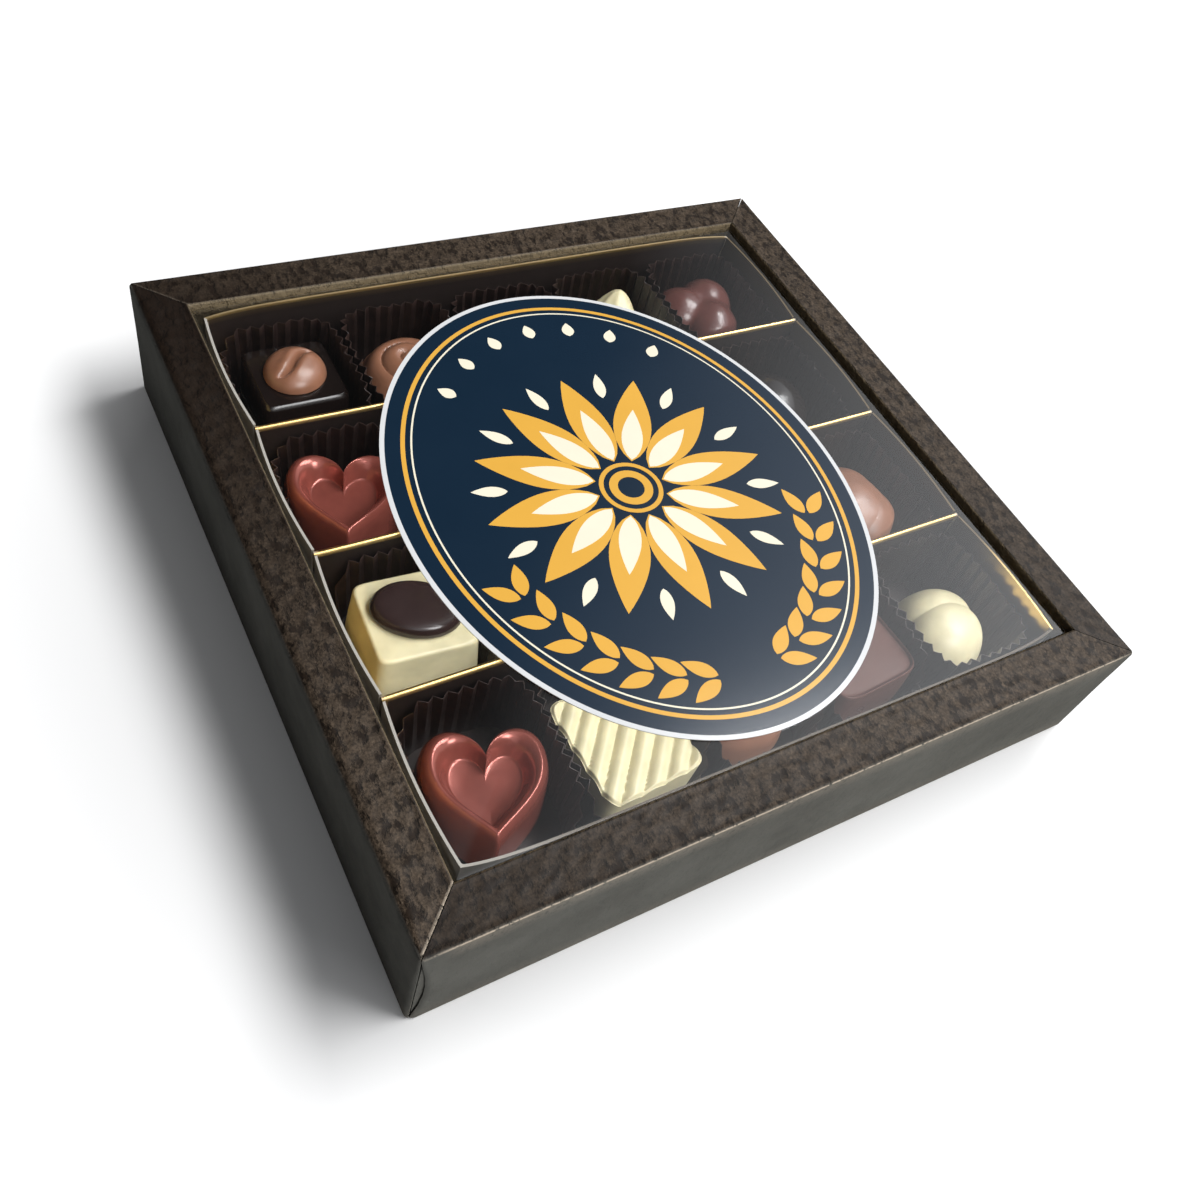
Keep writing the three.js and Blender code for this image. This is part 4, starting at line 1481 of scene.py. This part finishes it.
@dataclass
class PleatedCup:
    """A paper cup with accordion pleats, squeezed into its oblong cell.

    Attributes:
        pleats: How many pleats go round.
        steps: How many points each pleat has.
        depth: Depth of a pleat at the lip.
        paper: Thickness of the paper.
        flare: How far the wall leans out, in X and Y.
        squareness: Power of the outline.
        ragged: How uneven the lip is.
        pressed: How far the lip is pressed down on the left and in front, by cell.
    """

    pleats: int = 36
    steps: int = 6
    depth: float = 1.5
    paper: float = 0.16
    flare: tuple[float, float] = (1.05, 1.1)
    squareness: float = 5.0
    ragged: float = 0.55
    pressed: ClassVar[dict[str, tuple[float, float]]] = {
        "r1c1": (4.0, 2.0), "r2c1": (4.0, 2.0), "r3c1": (14.0, 5.0), "r4c1": (6.0, 9.0),
        "r4c2": (2.0, 9.0), "r4c3": (0.0, 7.0), "r4c4": (0.0, 7.0),
    }

    def build(self, cell: str, seed: int) -> None:
        """Builds the cup of a cell.

        Args:
            cell: Row and column, as in r1c1.
            seed: Which chance unevenness it has.
        """
        low, high = node_box("cup_" + cell)
        middle, half = (low + high)[:2] / 2, (high - low)[:2] / 2
        count = self.steps * self.pleats
        rng = np.random.default_rng(seed)
        wall = np.linspace(0, 1, 8)[:, None]
        place = np.arange(count) / self.steps
        wave = 1 - np.abs((place % 1) * 2 - 1)
        uneven = np.repeat(rng.uniform(0.7, 1.15, self.pleats), self.steps)
        lean = np.repeat(rng.uniform(-1, 1, self.pleats), self.steps)
        mouth = superellipse(*half, self.squareness, count)
        foot = superellipse(*(half - np.array(self.flare)), self.squareness - 1, count)
        away = outward(mouth)
        fold = self.depth * uneven * (1 - wave) * wall**0.7
        plan = foot + (mouth - foot) * wall[..., None] - fold[..., None] * away
        lip = high[2] - low[2] - self.ragged * (0.5 + 0.5 * lean) * wall[-1]
        left, front = self.pressed.get(cell, (0.0, 0.0))
        lip = lip - left * smooth_step(-mouth[:, 0] / half[0], 0.55, 0.95)
        lip = np.maximum(lip - front * smooth_step(-mouth[:, 1] / half[1], 0.55, 0.95), 4.0)
        rise = wall * lip
        outer = lifted(plan, rise)
        inner = lifted(plan - self.paper * away, np.maximum(rise, self.paper))
        floor_out = loft(foot, np.array([[0.0, 0.0], [0.6, 0.0]]))
        floor_in = loft(foot, np.array([[0.6, self.paper], [0.0, self.paper]]))
        points = np.concatenate([floor_out, outer, inner[::-1], floor_in])
        # Painted highlight: the crests of the pleats and a band along the lip are paler.
        crest = wave**3 * smooth_step(wall, 0.15, 0.7)
        lip_line = smooth_step(wall, 0.86, 1.0)
        ridge = np.clip(0.55 * crest + 0.75 * lip_line, 0, 1)
        flat = np.zeros((2, count))
        marks = np.concatenate([flat, ridge, ridge[::-1], flat])
        points = points + np.array([*middle, low[2]])
        skin = Skin().grid(points, columns_close=True, ridge=marks)
        node = "cup_" + cell
        skin.piece("paper_" + node, "insert", CUP_PAPER, replaces=(node,), slot="cup_paper", sharp=25)


@dataclass
class Praline:
    """A moulded praline, set into its construction node's box.

    Attributes:
        finish: What it is made of.
        slot: The record's slot for that.
        turn: How it lies, in degrees.
        sharp: Angle above which an edge stays crisp.
        size_x: Its size along X before it is turned.
        size_y: Its size along Y before it is turned.
        height: Its height.
        power: Power of its outline, a superellipse.
        facets: How many points its outline has.
    """

    finish: Finish = MILK
    slot: str = "milk_chocolate"
    turn: float = 0.0
    sharp: float = 50.0
    size_x: float = 26.0
    size_y: float = 26.0
    height: float = 16.5
    power: float = 2.0
    facets: ClassVar[int] = 144

    def outline(self) -> Array:
        """Gives the praline's edge as seen from above."""
        return superellipse(self.size_x / 2, self.size_y / 2, self.power, self.facets)

    def surface(self) -> Array:
        """Gives the praline about the Z axis at about its size, as rings from foot to top."""
        raise NotImplementedError

    def build(self, node: str) -> None:
        """Builds the praline of a construction node."""
        self.mould(filling(turned(self.surface(), self.turn), node), node)

    def mould(self, points: Array, node: str) -> None:
        """Makes a placed surface the piece that stands for a construction node."""
        skin = Skin().grid(points, columns_close=True)
        name = "moulded_" + node
        skin.piece(name, "insert", self.finish, replaces=(node,), slot=self.slot, sharp=self.sharp)


@dataclass
class Lofted(Praline):
    """A praline whose outline is scaled and lifted along a section.

    Each row of the section holds a share of the outline's size and a share of the height.

    Attributes:
        foot: Rows joined straight, from the foot's middle outwards.
        curve: Rows that a smooth curve then goes through.
        samples: How many points that curve has.
        top: Rows joined straight that close the top.
    """

    foot: Rows = ((0, 0), (0.5, 0))
    curve: Rows = ()
    samples: int = 50
    top: Rows = ()

    def surface(self) -> Array:
        """Carries the outline along the foot, the curve and the top.

        Returns:
            The points, as rings from foot to top.
        """
        parts = [self.foot]
        if self.curve:
            parts.append(smooth_curve(self.curve, self.samples))
        if self.top:
            parts.append(self.top)
        return loft(self.outline(), np.vstack(parts) * (1, self.height))


@dataclass
class Heart(Lofted):
    """A heart with a round raised border and a sunk flat middle."""

    finish: Finish = RUBY
    slot: str = "ruby_chocolate"
    turn: float = -17.0
    size_x: float = 29.37
    size_y: float = 29.5
    height: float = 16.5
    foot: Rows = ((0, 0), (0.5, 0), (0.98, 0))
    curve: Rows = (
        (0.996, 0.03), (1, 0.08), (0.985, 0.3), (0.965, 0.55), (0.945, 0.73), (0.92, 0.84),
        (0.88, 0.935), (0.8, 1.0), (0.72, 0.975), (0.65, 0.9), (0.59, 0.8), (0.555, 0.74),
    )
    samples: int = 64
    top: Rows = ((0.535, 0.722), (0.51, 0.717), (0.3, 0.715), (0, 0.715))

    def outline(self) -> Array:
        """Joins four cubic curves: from the cleft round one shoulder to the point, and back.

        Returns:
            The heart's edge, evenly spaced.
        """
        side, end = self.size_x / 2, self.size_y / 2
        left = [(0, 0.5), (-0.16, 1.1), (-1, 1.18), (-1, 0.38), (-1, -0.24), (-0.38, -0.6), (0, -1)]
        right = [(-x, y) for x, y in left[::-1]]
        t = np.linspace(0, 1, 120, endpoint=False)[:, None]
        curve = []
        for knots in (left[:4], left[3:], right[:4], right[3:]):
            a, b, c, d = (np.array(knot) * (side, end) for knot in knots)
            curve.append(a * (1 - t) ** 3 + 3 * b * t * (1 - t) ** 2 + 3 * c * t**2 * (1 - t) + d * t**3)
        return even_loop(np.concatenate(curve), self.facets + 1)


@dataclass
class CoffeeSquare(Lofted):
    """A dark square on a thin foot with a ledge, with a flat top and a narrow bevel."""

    finish: Finish = DARK
    slot: str = "dark_chocolate"
    sharp: float = 28.0
    size_x: float = 24.0
    size_y: float = 24.0
    height: float = 13.6
    power: float = 12.0
    foot: Rows = (
        (0, 0), (0.5, 0), (0.985, 0), (1, 0.02), (1, 0.14), (0.985, 0.16), (0.95, 0.165), (0.945, 0.19),
        (0.934, 0.92), (0.927, 0.937), (0.872, 0.992), (0.862, 1.0), (0.5, 1.0), (0, 1.0),
    )


@dataclass
class Pillow(Lofted):
    """A square with full sides, whose flat top has a thin raised edge."""

    finish: Finish = PILLOW
    turn: float = 5.0
    size_x: float = 26.6
    size_y: float = 26.6
    height: float = 15.2
    power: float = 6.0
    foot: Rows = ((0, 0), (0.5, 0), (0.95, 0))
    curve: Rows = (
        (0.985, 0.05), (1, 0.16), (0.998, 0.4), (0.985, 0.75), (0.972, 0.93), (0.964, 0.98),
        (0.945, 1.0), (0.925, 0.98), (0.912, 0.96), (0.88, 0.953), (0.8, 0.955),
    )
    top: Rows = ((0.5, 0.965), (0, 0.97))


@dataclass
class Kiss(Lofted):
    """A pointed drop with a twist.

    Attributes:
        lean: How far its tip leans, in X and Y.
    """

    finish: Finish = IVORY
    slot: str = "ivory_chocolate"
    height: float = 18.5
    curve: Rows = (
        (0.93, 0.0), (1, 0.1), (0.95, 0.28), (0.7, 0.56), (0.4, 0.8), (0.17, 0.95), (0.05, 0.99), (0, 1.0),
    )
    lean: tuple[float, float] = (5.0, 7.0)

    def surface(self) -> Array:
        """Winds soft ribs round the drop and lets its tip lean.

        Returns:
            The points, as rings from foot to top.
        """
        points = super().surface()
        angle = np.arctan2(points[..., 1], points[..., 0]) + 2.4 * points[..., 2] / self.height
        swell = 1 + 0.045 * np.cos(6 * angle) * smooth_step(points[..., 2], 1.0, 8.0)
        drop = points * np.stack([swell, swell, 0 * swell + 1], axis=-1)
        drop[..., :2] += np.array(self.lean) * (drop[..., 2:] / self.height) ** 1.6
        return drop


@dataclass
class OvalBlock(Lofted):
    """An ivory block with leaning sides, a narrow round edge and a flat top."""

    finish: Finish = IVORY
    slot: str = "ivory_chocolate"
    turn: float = -4.0
    sharp: float = 24.0
    size_y: float = 25.0
    height: float = 14.8
    power: float = 10.0
    foot: Rows = ((0, 0), (0.5, 0), (0.985, 0.0), (0.997, 0.01), (1, 0.04), (0.96, 0.5))
    curve: Rows = ((0.92, 0.92), (0.912, 0.955), (0.895, 0.98), (0.87, 0.995), (0.84, 1.0))
    samples: int = 14
    top: Rows = ((0.5, 1.0), (0, 1.0))


@dataclass
class OvalCap(Lofted):
    """A dark oval tablet with a short side, a round shoulder and a nearly flat top."""

    finish: Finish = CAP
    slot: str = "dark_chocolate"
    turn: float = -28.0
    size_x: float = 21.0
    size_y: float = 15.0
    height: float = 3.5
    curve: Rows = (
        (0.965, 0.0), (0.995, 0.08), (1, 0.22), (0.975, 0.5), (0.9, 0.8), (0.78, 0.95), (0.5, 1.0), (0, 1.0),
    )
    samples: int = 40


@dataclass
class Heaped(Praline):
    """A praline whose top is a height over its outline.

    Attributes:
        rings: How many rings its top has.
    """

    rings: int = 64

    def rise(self, x: Array, y: Array, out: Array) -> Array:
        """Gives the top's height at x and y, at a share of the way out to the edge."""
        raise NotImplementedError

    def surface(self) -> Array:
        """Heaps the height over the outline."""
        return heap(self.outline(), self.rings, self.rise)


@dataclass
class CoffeeBean(Heaped):
    """A coffee bean with a swaying groove between two full lips.

    Attributes:
        groove: Half the groove's width.
        depth: Depth of the groove.
    """

    turn: float = 24.0
    size_x: float = 17.0
    size_y: float = 15.6
    height: float = 4.8
    rings: int = 60
    groove: float = 0.7
    depth: float = 2.1

    def rise(self, x: Array, y: Array, out: Array) -> Array:
        """Domes the oval, sinks a groove along a wave and swells a lip on each side of it.

        Args:
            x: Places along the bean.
            y: Places across it.
            out: Share of the way out to its edge.

        Returns:
            The heights.
        """
        dome = self.height * (1 - out**3.2) ** 0.62
        wave = 0.09 * self.size_y * np.sin(x / self.size_x * FULL_TURN)
        cut = np.exp(-(np.abs((y - wave) / self.groove) ** 1.6)) * smooth_step(0.88 - out, 0, 0.3)
        lips = 0.5 * np.exp(-(((np.abs(y - wave) - 2.4) / 1.4) ** 2)) * smooth_step(0.8 - out, 0, 0.4)
        return np.maximum(dome - self.depth * cut + lips, 0.25 * self.height * (1 - out))


@dataclass
class Rosette(Heaped):
    """An oval piped in a flat spiral.

    Attributes:
        ridges: How many times the spiral goes round.
        ridge_depth: Depth of the valley between two of its turns.
    """

    turn: float = 15.0
    size_x: float = 27.0
    size_y: float = 25.0
    height: float = 15.5
    power: float = 2.1
    rings: int = 70
    ridges: float = 2.6
    ridge_depth: float = 1.0

    def rise(self, x: Array, y: Array, out: Array) -> Array:
        """Domes the oval and winds a round ridge from the edge to the middle.

        Args:
            x: Places along X.
            y: Places along Y.
            out: Share of the way out to the edge.

        Returns:
            The heights.
        """
        dome = self.height * (0.28 + 0.68 * (1 - out**2.6) ** 0.55)
        phase = FULL_TURN * self.ridges * out - np.arctan2(y, x)
        wave = np.abs(np.sin(phase / 2)) ** 0.7 - 1
        return dome + self.ridge_depth * wave * smooth_step(1 - out, 0.02, 0.15) * smooth_step(out, 0, 0.1)


@dataclass
class NutCluster(Heaped):
    """Nuts under a coat of chocolate, melted into a skirt.

    Attributes:
        nut: Radius of a nut.
        ring: Distance of the nuts from the middle.
        nuts: How many there are.
        melt: How softly they run into each other.
    """

    size_x: float = 27.5
    size_y: float = 27.5
    height: float = 16.2
    nut: float = 8.7
    ring: float = 6.0
    nuts: int = 3
    melt: float = 1.1

    def rise(self, x: Array, y: Array, out: Array) -> Array:
        """Takes the soft highest of the nuts and the skirt: a log of the sum of their powers.

        Args:
            x: Places along X.
            y: Places along Y.
            out: Share of the way out to the edge.

        Returns:
            The heights.
        """
        rises = [self.height * 0.5 * (1 - out**3) ** 0.5]
        for angle in np.arange(self.nuts) * FULL_TURN / self.nuts + math.pi / 6:
            away = (x - self.ring * math.cos(angle)) ** 2 + (y - self.ring * math.sin(angle)) ** 2
            rises.append(self.height - self.nut + np.sqrt(np.maximum(self.nut**2 - away, 0)))
        soft = self.melt * np.log(sum(np.exp(rise / self.melt) for rise in rises))
        return soft * smooth_step(1 - out, -0.05, 0.12) ** 0.5


@dataclass
class FoldedDome(Heaped):
    """An ivory dome over which a second layer is folded.

    Attributes:
        shift: Distance between the two layers' middles.
        step: How much lower the back layer is.
    """

    finish: Finish = IVORY
    slot: str = "ivory_chocolate"
    turn: float = -2.0
    size_y: float = 25.5
    height: float = 15.5
    power: float = 2.2
    rings: int = 70
    shift: float = 4.5
    step: float = 1.1

    def rise(self, x: Array, y: Array, out: Array) -> Array:
        """Takes the higher of two domes that lie behind one another, with a crease between.

        Args:
            x: Places along X.
            y: Places along Y.
            out: Share of the way out to the edge.

        Returns:
            The heights.
        """
        front = ((x + 0.5) / 12.4) ** 2 + ((y + self.shift / 2) / 10.6) ** 2
        back = ((x - 0.5) / 12.4) ** 2 + ((y - self.shift / 2) / 10.4) ** 2
        near, far = (self.height * np.maximum(1 - away**1.35, 0) ** 0.5 for away in (front, back))
        folded = np.maximum(near, far - self.step)
        return np.maximum(folded, 0.2 * self.height * (1 - out**6))


@dataclass
class Dome(Heaped):
    """A round dome with a full shoulder.

    Attributes:
        fullness: How far out the shoulder stays high.
    """

    power: float = 2.1
    rings: int = 48
    fullness: float = 2.4

    def swell(self, out: Array | float) -> Array | float:
        """Gives the dome's height by a root of what is left of the way out."""
        return self.height * (0.18 + 0.82 * (1 - out**self.fullness) ** 0.52)

    def rise(self, x: Array, y: Array, out: Array) -> Array:
        """Takes the dome's height and rounds it off at the foot."""
        return self.swell(out) * smooth_step(1 - out, -0.1, 0.06)


@dataclass
class NutDome(Dome):
    """A milk dome strewn with nut crumbs.

    Attributes:
        crumbs: How many crumbs lie on it.
        crumb: Largest half size of a crumb.
        spread: How far out they lie.
    """

    sharp: float = 40.0
    size_x: float = 26.5
    size_y: float = 26.5
    height: float = 14.5
    crumbs: int = 16
    crumb: float = 1.5
    spread: float = 8.5

    def build(self, node: str) -> None:
        """Builds the dome and its crumbs.

        Args:
            node: The construction node that it stands for.
        """
        low, high = node_box(node)
        self.build_crumbs(node, low, high)
        points = filling(self.surface(), node)
        points[..., 2] = low[2] + (points[..., 2] - low[2]) * self.height / (high[2] - low[2])
        self.mould(points, node)

    def build_crumbs(self, node: str, low: Array, high: Array) -> None:
        """Builds lumpy crumbs half sunk in the dome, each a dented ball.

        Args:
            node: The construction node whose dome carries them.
            low: Its lowest corner.
            high: Its highest corner.
        """
        rng = np.random.default_rng(sum(map(ord, node)))
        down, round_ = np.linspace(0, np.pi, 9)[:, None], np.linspace(0, FULL_TURN, 12, endpoint=False)[None]
        sides = [np.sin(down) * np.cos(round_), np.sin(down) * np.sin(round_), np.cos(down)]
        ball = np.stack(np.broadcast_arrays(*sides), axis=-1)
        middle = (low + high)[:2] / 2
        skin = Skin()
        for index in range(self.crumbs):
            reach, angle = self.spread * math.sqrt((index + 0.5) / self.crumbs), 2.4 * index
            rise = low[2] + self.swell(reach / (self.size_x / 2))
            size = self.crumb * rng.uniform(0.6, 1.0, 3) * (1, 1, 0.8)
            dent = 1 + 0.22 * np.sin(ball @ rng.uniform(-4, 4, 3) + rng.uniform(0, 6))
            way = np.array([math.cos(angle), math.sin(angle)])
            place = np.array([*(middle + reach * way), rise - 0.3])
            lump = turned(ball * dent[..., None] * size, math.degrees(angle))
            lump[..., 2] = np.minimum(lump[..., 2], high[2] - place[2])
            skin.grid(lump + place, columns_close=True)
        skin.piece("crumbs_" + node, "insert", NUT, slot="milk_chocolate", sharp=60)


@dataclass
class RibbedBar(Heaped):
    """An ivory bar with round ribs across its top.

    Attributes:
        pitch: Distance from rib to rib.
        depth: Depth of the valley between two ribs.
        angle: How the ribs lie, in degrees from X.
    """

    finish: Finish = IVORY
    slot: str = "ivory_chocolate"
    turn: float = 5.0
    size_x: float = 25.6
    size_y: float = 28.0
    height: float = 15.0
    power: float = 10.0
    rings: int = 90
    pitch: float = 4.3
    depth: float = 1.3
    angle: float = 45.0

    def rise(self, x: Array, y: Array, out: Array) -> Array:
        """Waves the top along one direction and rounds its edge.

        Args:
            x: Places along X.
            y: Places along Y.
            out: Share of the way out to the edge.

        Returns:
            The heights.
        """
        lean = math.radians(self.angle)
        along = x * math.sin(lean) - y * math.cos(lean)
        rib = np.abs(np.cos(np.pi * along / self.pitch)) ** 0.8 - 1
        edge = 1 - 0.05 * smooth_step(out, 0.95, 1.0)
        return self.height * edge + self.depth * rib * smooth_step(1 - out, -0.05, 0.01)


KINDS: dict[str, Praline] = {
    "coffee_square": CoffeeSquare(),
    "coffee_bean": CoffeeBean(),
    "milk_rosette": Rosette(),
    "milk_pillow": Pillow(),
    "ivory_kiss": Kiss(),
    "dark_cluster": NutCluster(finish=CLUSTER, slot="dark_chocolate", turn=10.0),
    "milk_cluster": NutCluster(turn=40.0, nut=9.6, ring=4.6, melt=2.2),
    "ruby_heart": Heart(),
    "ivory_almond": FoldedDome(),
    "nut_dome": NutDome(),
    "dark_truffle": Dome(finish=DARK, slot="dark_chocolate"),
    "oval_block": OvalBlock(),
    "oval_cap": OvalCap(),
    "ribbed_bar": RibbedBar(),
}


@dataclass
class Assortment:
    """All the cups and what lies in them.

    Attributes:
        cup: The cup that each praline lies in.
    """

    cup: PleatedCup = field(default_factory=PleatedCup)

    def build(self) -> None:
        """Builds a cup for each cup node and a praline for each other node with a cell."""
        for seed, node in enumerate(sorted(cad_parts)):
            kind, _, cell = node.rpartition("_")
            if kind == "cup":
                self.cup.build(cell, seed)
            elif kind in KINDS:
                KINDS[kind].build(node)


# Studio


@dataclass
class Studio:
    """The floor, the light and the camera.

    Attributes:
        lens: Focal length for a picture 36 mm wide, in millimetres.
        eye: The camera's place.
        ahead: The way that it looks.
        right: The picture's rightward direction.
        floor_half: Half the floor's side.
        sky_way: Where the sky is brightest, level with the floor.
        sky_level: Brightness of the sky abeam of that way.
        sky_slope: How much brighter it gets towards that way.
        sky_least: Brightness of its dark part.
        sky_most: Brightness of its bright part.
        sky_fill: Share of it that lights matt surfaces.
    """

    lens: float = 33.87
    eye: Triple = (-136.25, -149.24, 233.25)
    ahead: Triple = (0.4313, 0.4528, -0.7804)
    right: Triple = (0.8621, -0.4619, 0.2084)
    floor_half: float = 6000.0
    sky_way: Triple = (0.70, -0.714, 0.0)
    sky_level: float = 0.42
    sky_slope: float = 4.2
    sky_least: float = 0.03
    sky_most: float = 1.7
    sky_fill: float = 0.32

    def build(self) -> None:
        """Builds the stage."""
        self.build_camera()
        self.build_floor()
        self.build_sky()
        key = self.build_lamp("key", (1120.0, -300.0, 2000.0), (1850.0, 760.0), 70.0)
        key.light_linking.receiver_collection = listed("panes")
        window = self.build_lamp("window", (260.0, -1500.0, 1250.0), (760.0, 760.0), 28.5)
        window.light_linking.receiver_collection = listed("sweets")
        window.light_linking.blocker_collection = listed("sweets")
        low = self.build_lamp("low_front", (250.0, -1500.0, 240.0), (700.0, 700.0), 19.5)
        low.light_linking.receiver_collection = listed("walls")
        bpy.context.scene.view_settings.view_transform = "Standard"

    def build_camera(self) -> None:
        """Sets the camera where the photograph was taken from."""
        lens = bpy.data.cameras.new("camera")
        lens.sensor_width = 36
        lens.lens = self.lens
        lens.clip_start, lens.clip_end = 0.01, 100
        camera = bpy.data.objects.new("camera", lens)
        bpy.context.scene.collection.objects.link(camera)
        ahead = Vector(self.ahead).normalized()
        right = (Vector(self.right) - ahead * Vector(self.right).dot(ahead)).normalized()
        up = right.cross(ahead)
        turn = Matrix((right, up, -ahead)).transposed().to_4x4()
        camera.matrix_world = Matrix.Translation(Vector(self.eye) * MM) @ turn
        bpy.context.scene.camera = camera

    def build_floor(self) -> None:
        """Lays a wide plain floor just under the box."""
        half = self.floor_half * MM
        corners = [(-half, -half, 0), (half, -half, 0), (half, half, 0), (-half, half, 0)]
        mesh = bpy.data.meshes.new("floor")
        mesh.from_pydata(corners, [], [(0, 1, 2, 3)])
        mesh.materials.append(FloorFinish("studio_floor").material())
        floor = bpy.data.objects.new("floor", mesh)
        floor.location.z = -0.02 * MM
        bpy.context.scene.collection.objects.link(floor)

    def build_sky(self) -> None:
        """Lights the stage by a sky that brightens towards one side, and is white to the camera."""
        world = bpy.data.worlds.new("studio")
        world.use_nodes = True
        world.node_tree.nodes.clear()
        bpy.context.scene.world = world
        sheet = Sheet(world.node_tree)
        way = sheet.add("TexCoord").outputs["Generated"]
        towards = sheet.add("VectorMath", {0: way, 1: self.sky_way}, operation="DOT_PRODUCT").outputs["Value"]
        level = sheet.math("ADD", sheet.math("MULTIPLY", towards, self.sky_slope), self.sky_level)
        level = sheet.math("MINIMUM", sheet.math("MAXIMUM", level, self.sky_least), self.sky_most)
        rays = sheet.add("LightPath").outputs
        seen = sheet.math("MAXIMUM", rays["Is Camera Ray"], rays["Is Transmission Ray"])
        fill = sheet.range(rays["Is Glossy Ray"], 0.0, 1.0, self.sky_fill, 1.0)
        level = sheet.math("MULTIPLY", level, fill)
        sky = sheet.add("Background", {"Color": (0.95, 0.97, 1.0), "Strength": level}).outputs[0]
        white = sheet.add("Background", {"Color": (1.0, 1.0, 1.0), "Strength": 1.0}).outputs[0]
        mixed = sheet.add("MixShader", {0: seen, 1: sky, 2: white}).outputs[0]
        world.node_tree.links.new(mixed, sheet.add("OutputWorld").inputs["Surface"])

    def build_lamp(
        self, name: str, place: Triple, size: tuple[float, float], power: float
    ) -> bpy.types.Object:
        """Hangs an oblong soft lamp that faces the box.

        Args:
            name: Its name.
            place: Where it hangs.
            size: Its level side and the one across it.
            power: Its power in watts.

        Returns:
            The lamp.
        """
        light = bpy.data.lights.new(name, "AREA")
        light.shape = "RECTANGLE"
        light.size, light.size_y = (side * MM for side in size)
        light.energy = power
        lamp = bpy.data.objects.new(name, light)
        bpy.context.scene.collection.objects.link(lamp)
        lamp.location = Vector(place) * MM
        lamp.rotation_mode = "QUATERNION"
        lamp.rotation_quaternion = (-Vector(place)).to_track_quat("-Z", "Y")
        return lamp


def main() -> None:
    """Builds the stage, the box, the lid and the pralines."""
    logging.basicConfig(level=logging.INFO, format="%(name)s %(message)s")
    Studio().build()
    FrameTray().build()
    GoldInsert().build()
    Assortment().build()
    ClearLid().build()
    LidLabel().build()
    bpy.context.view_layer.update()


if __name__ == "__main__":
    main()
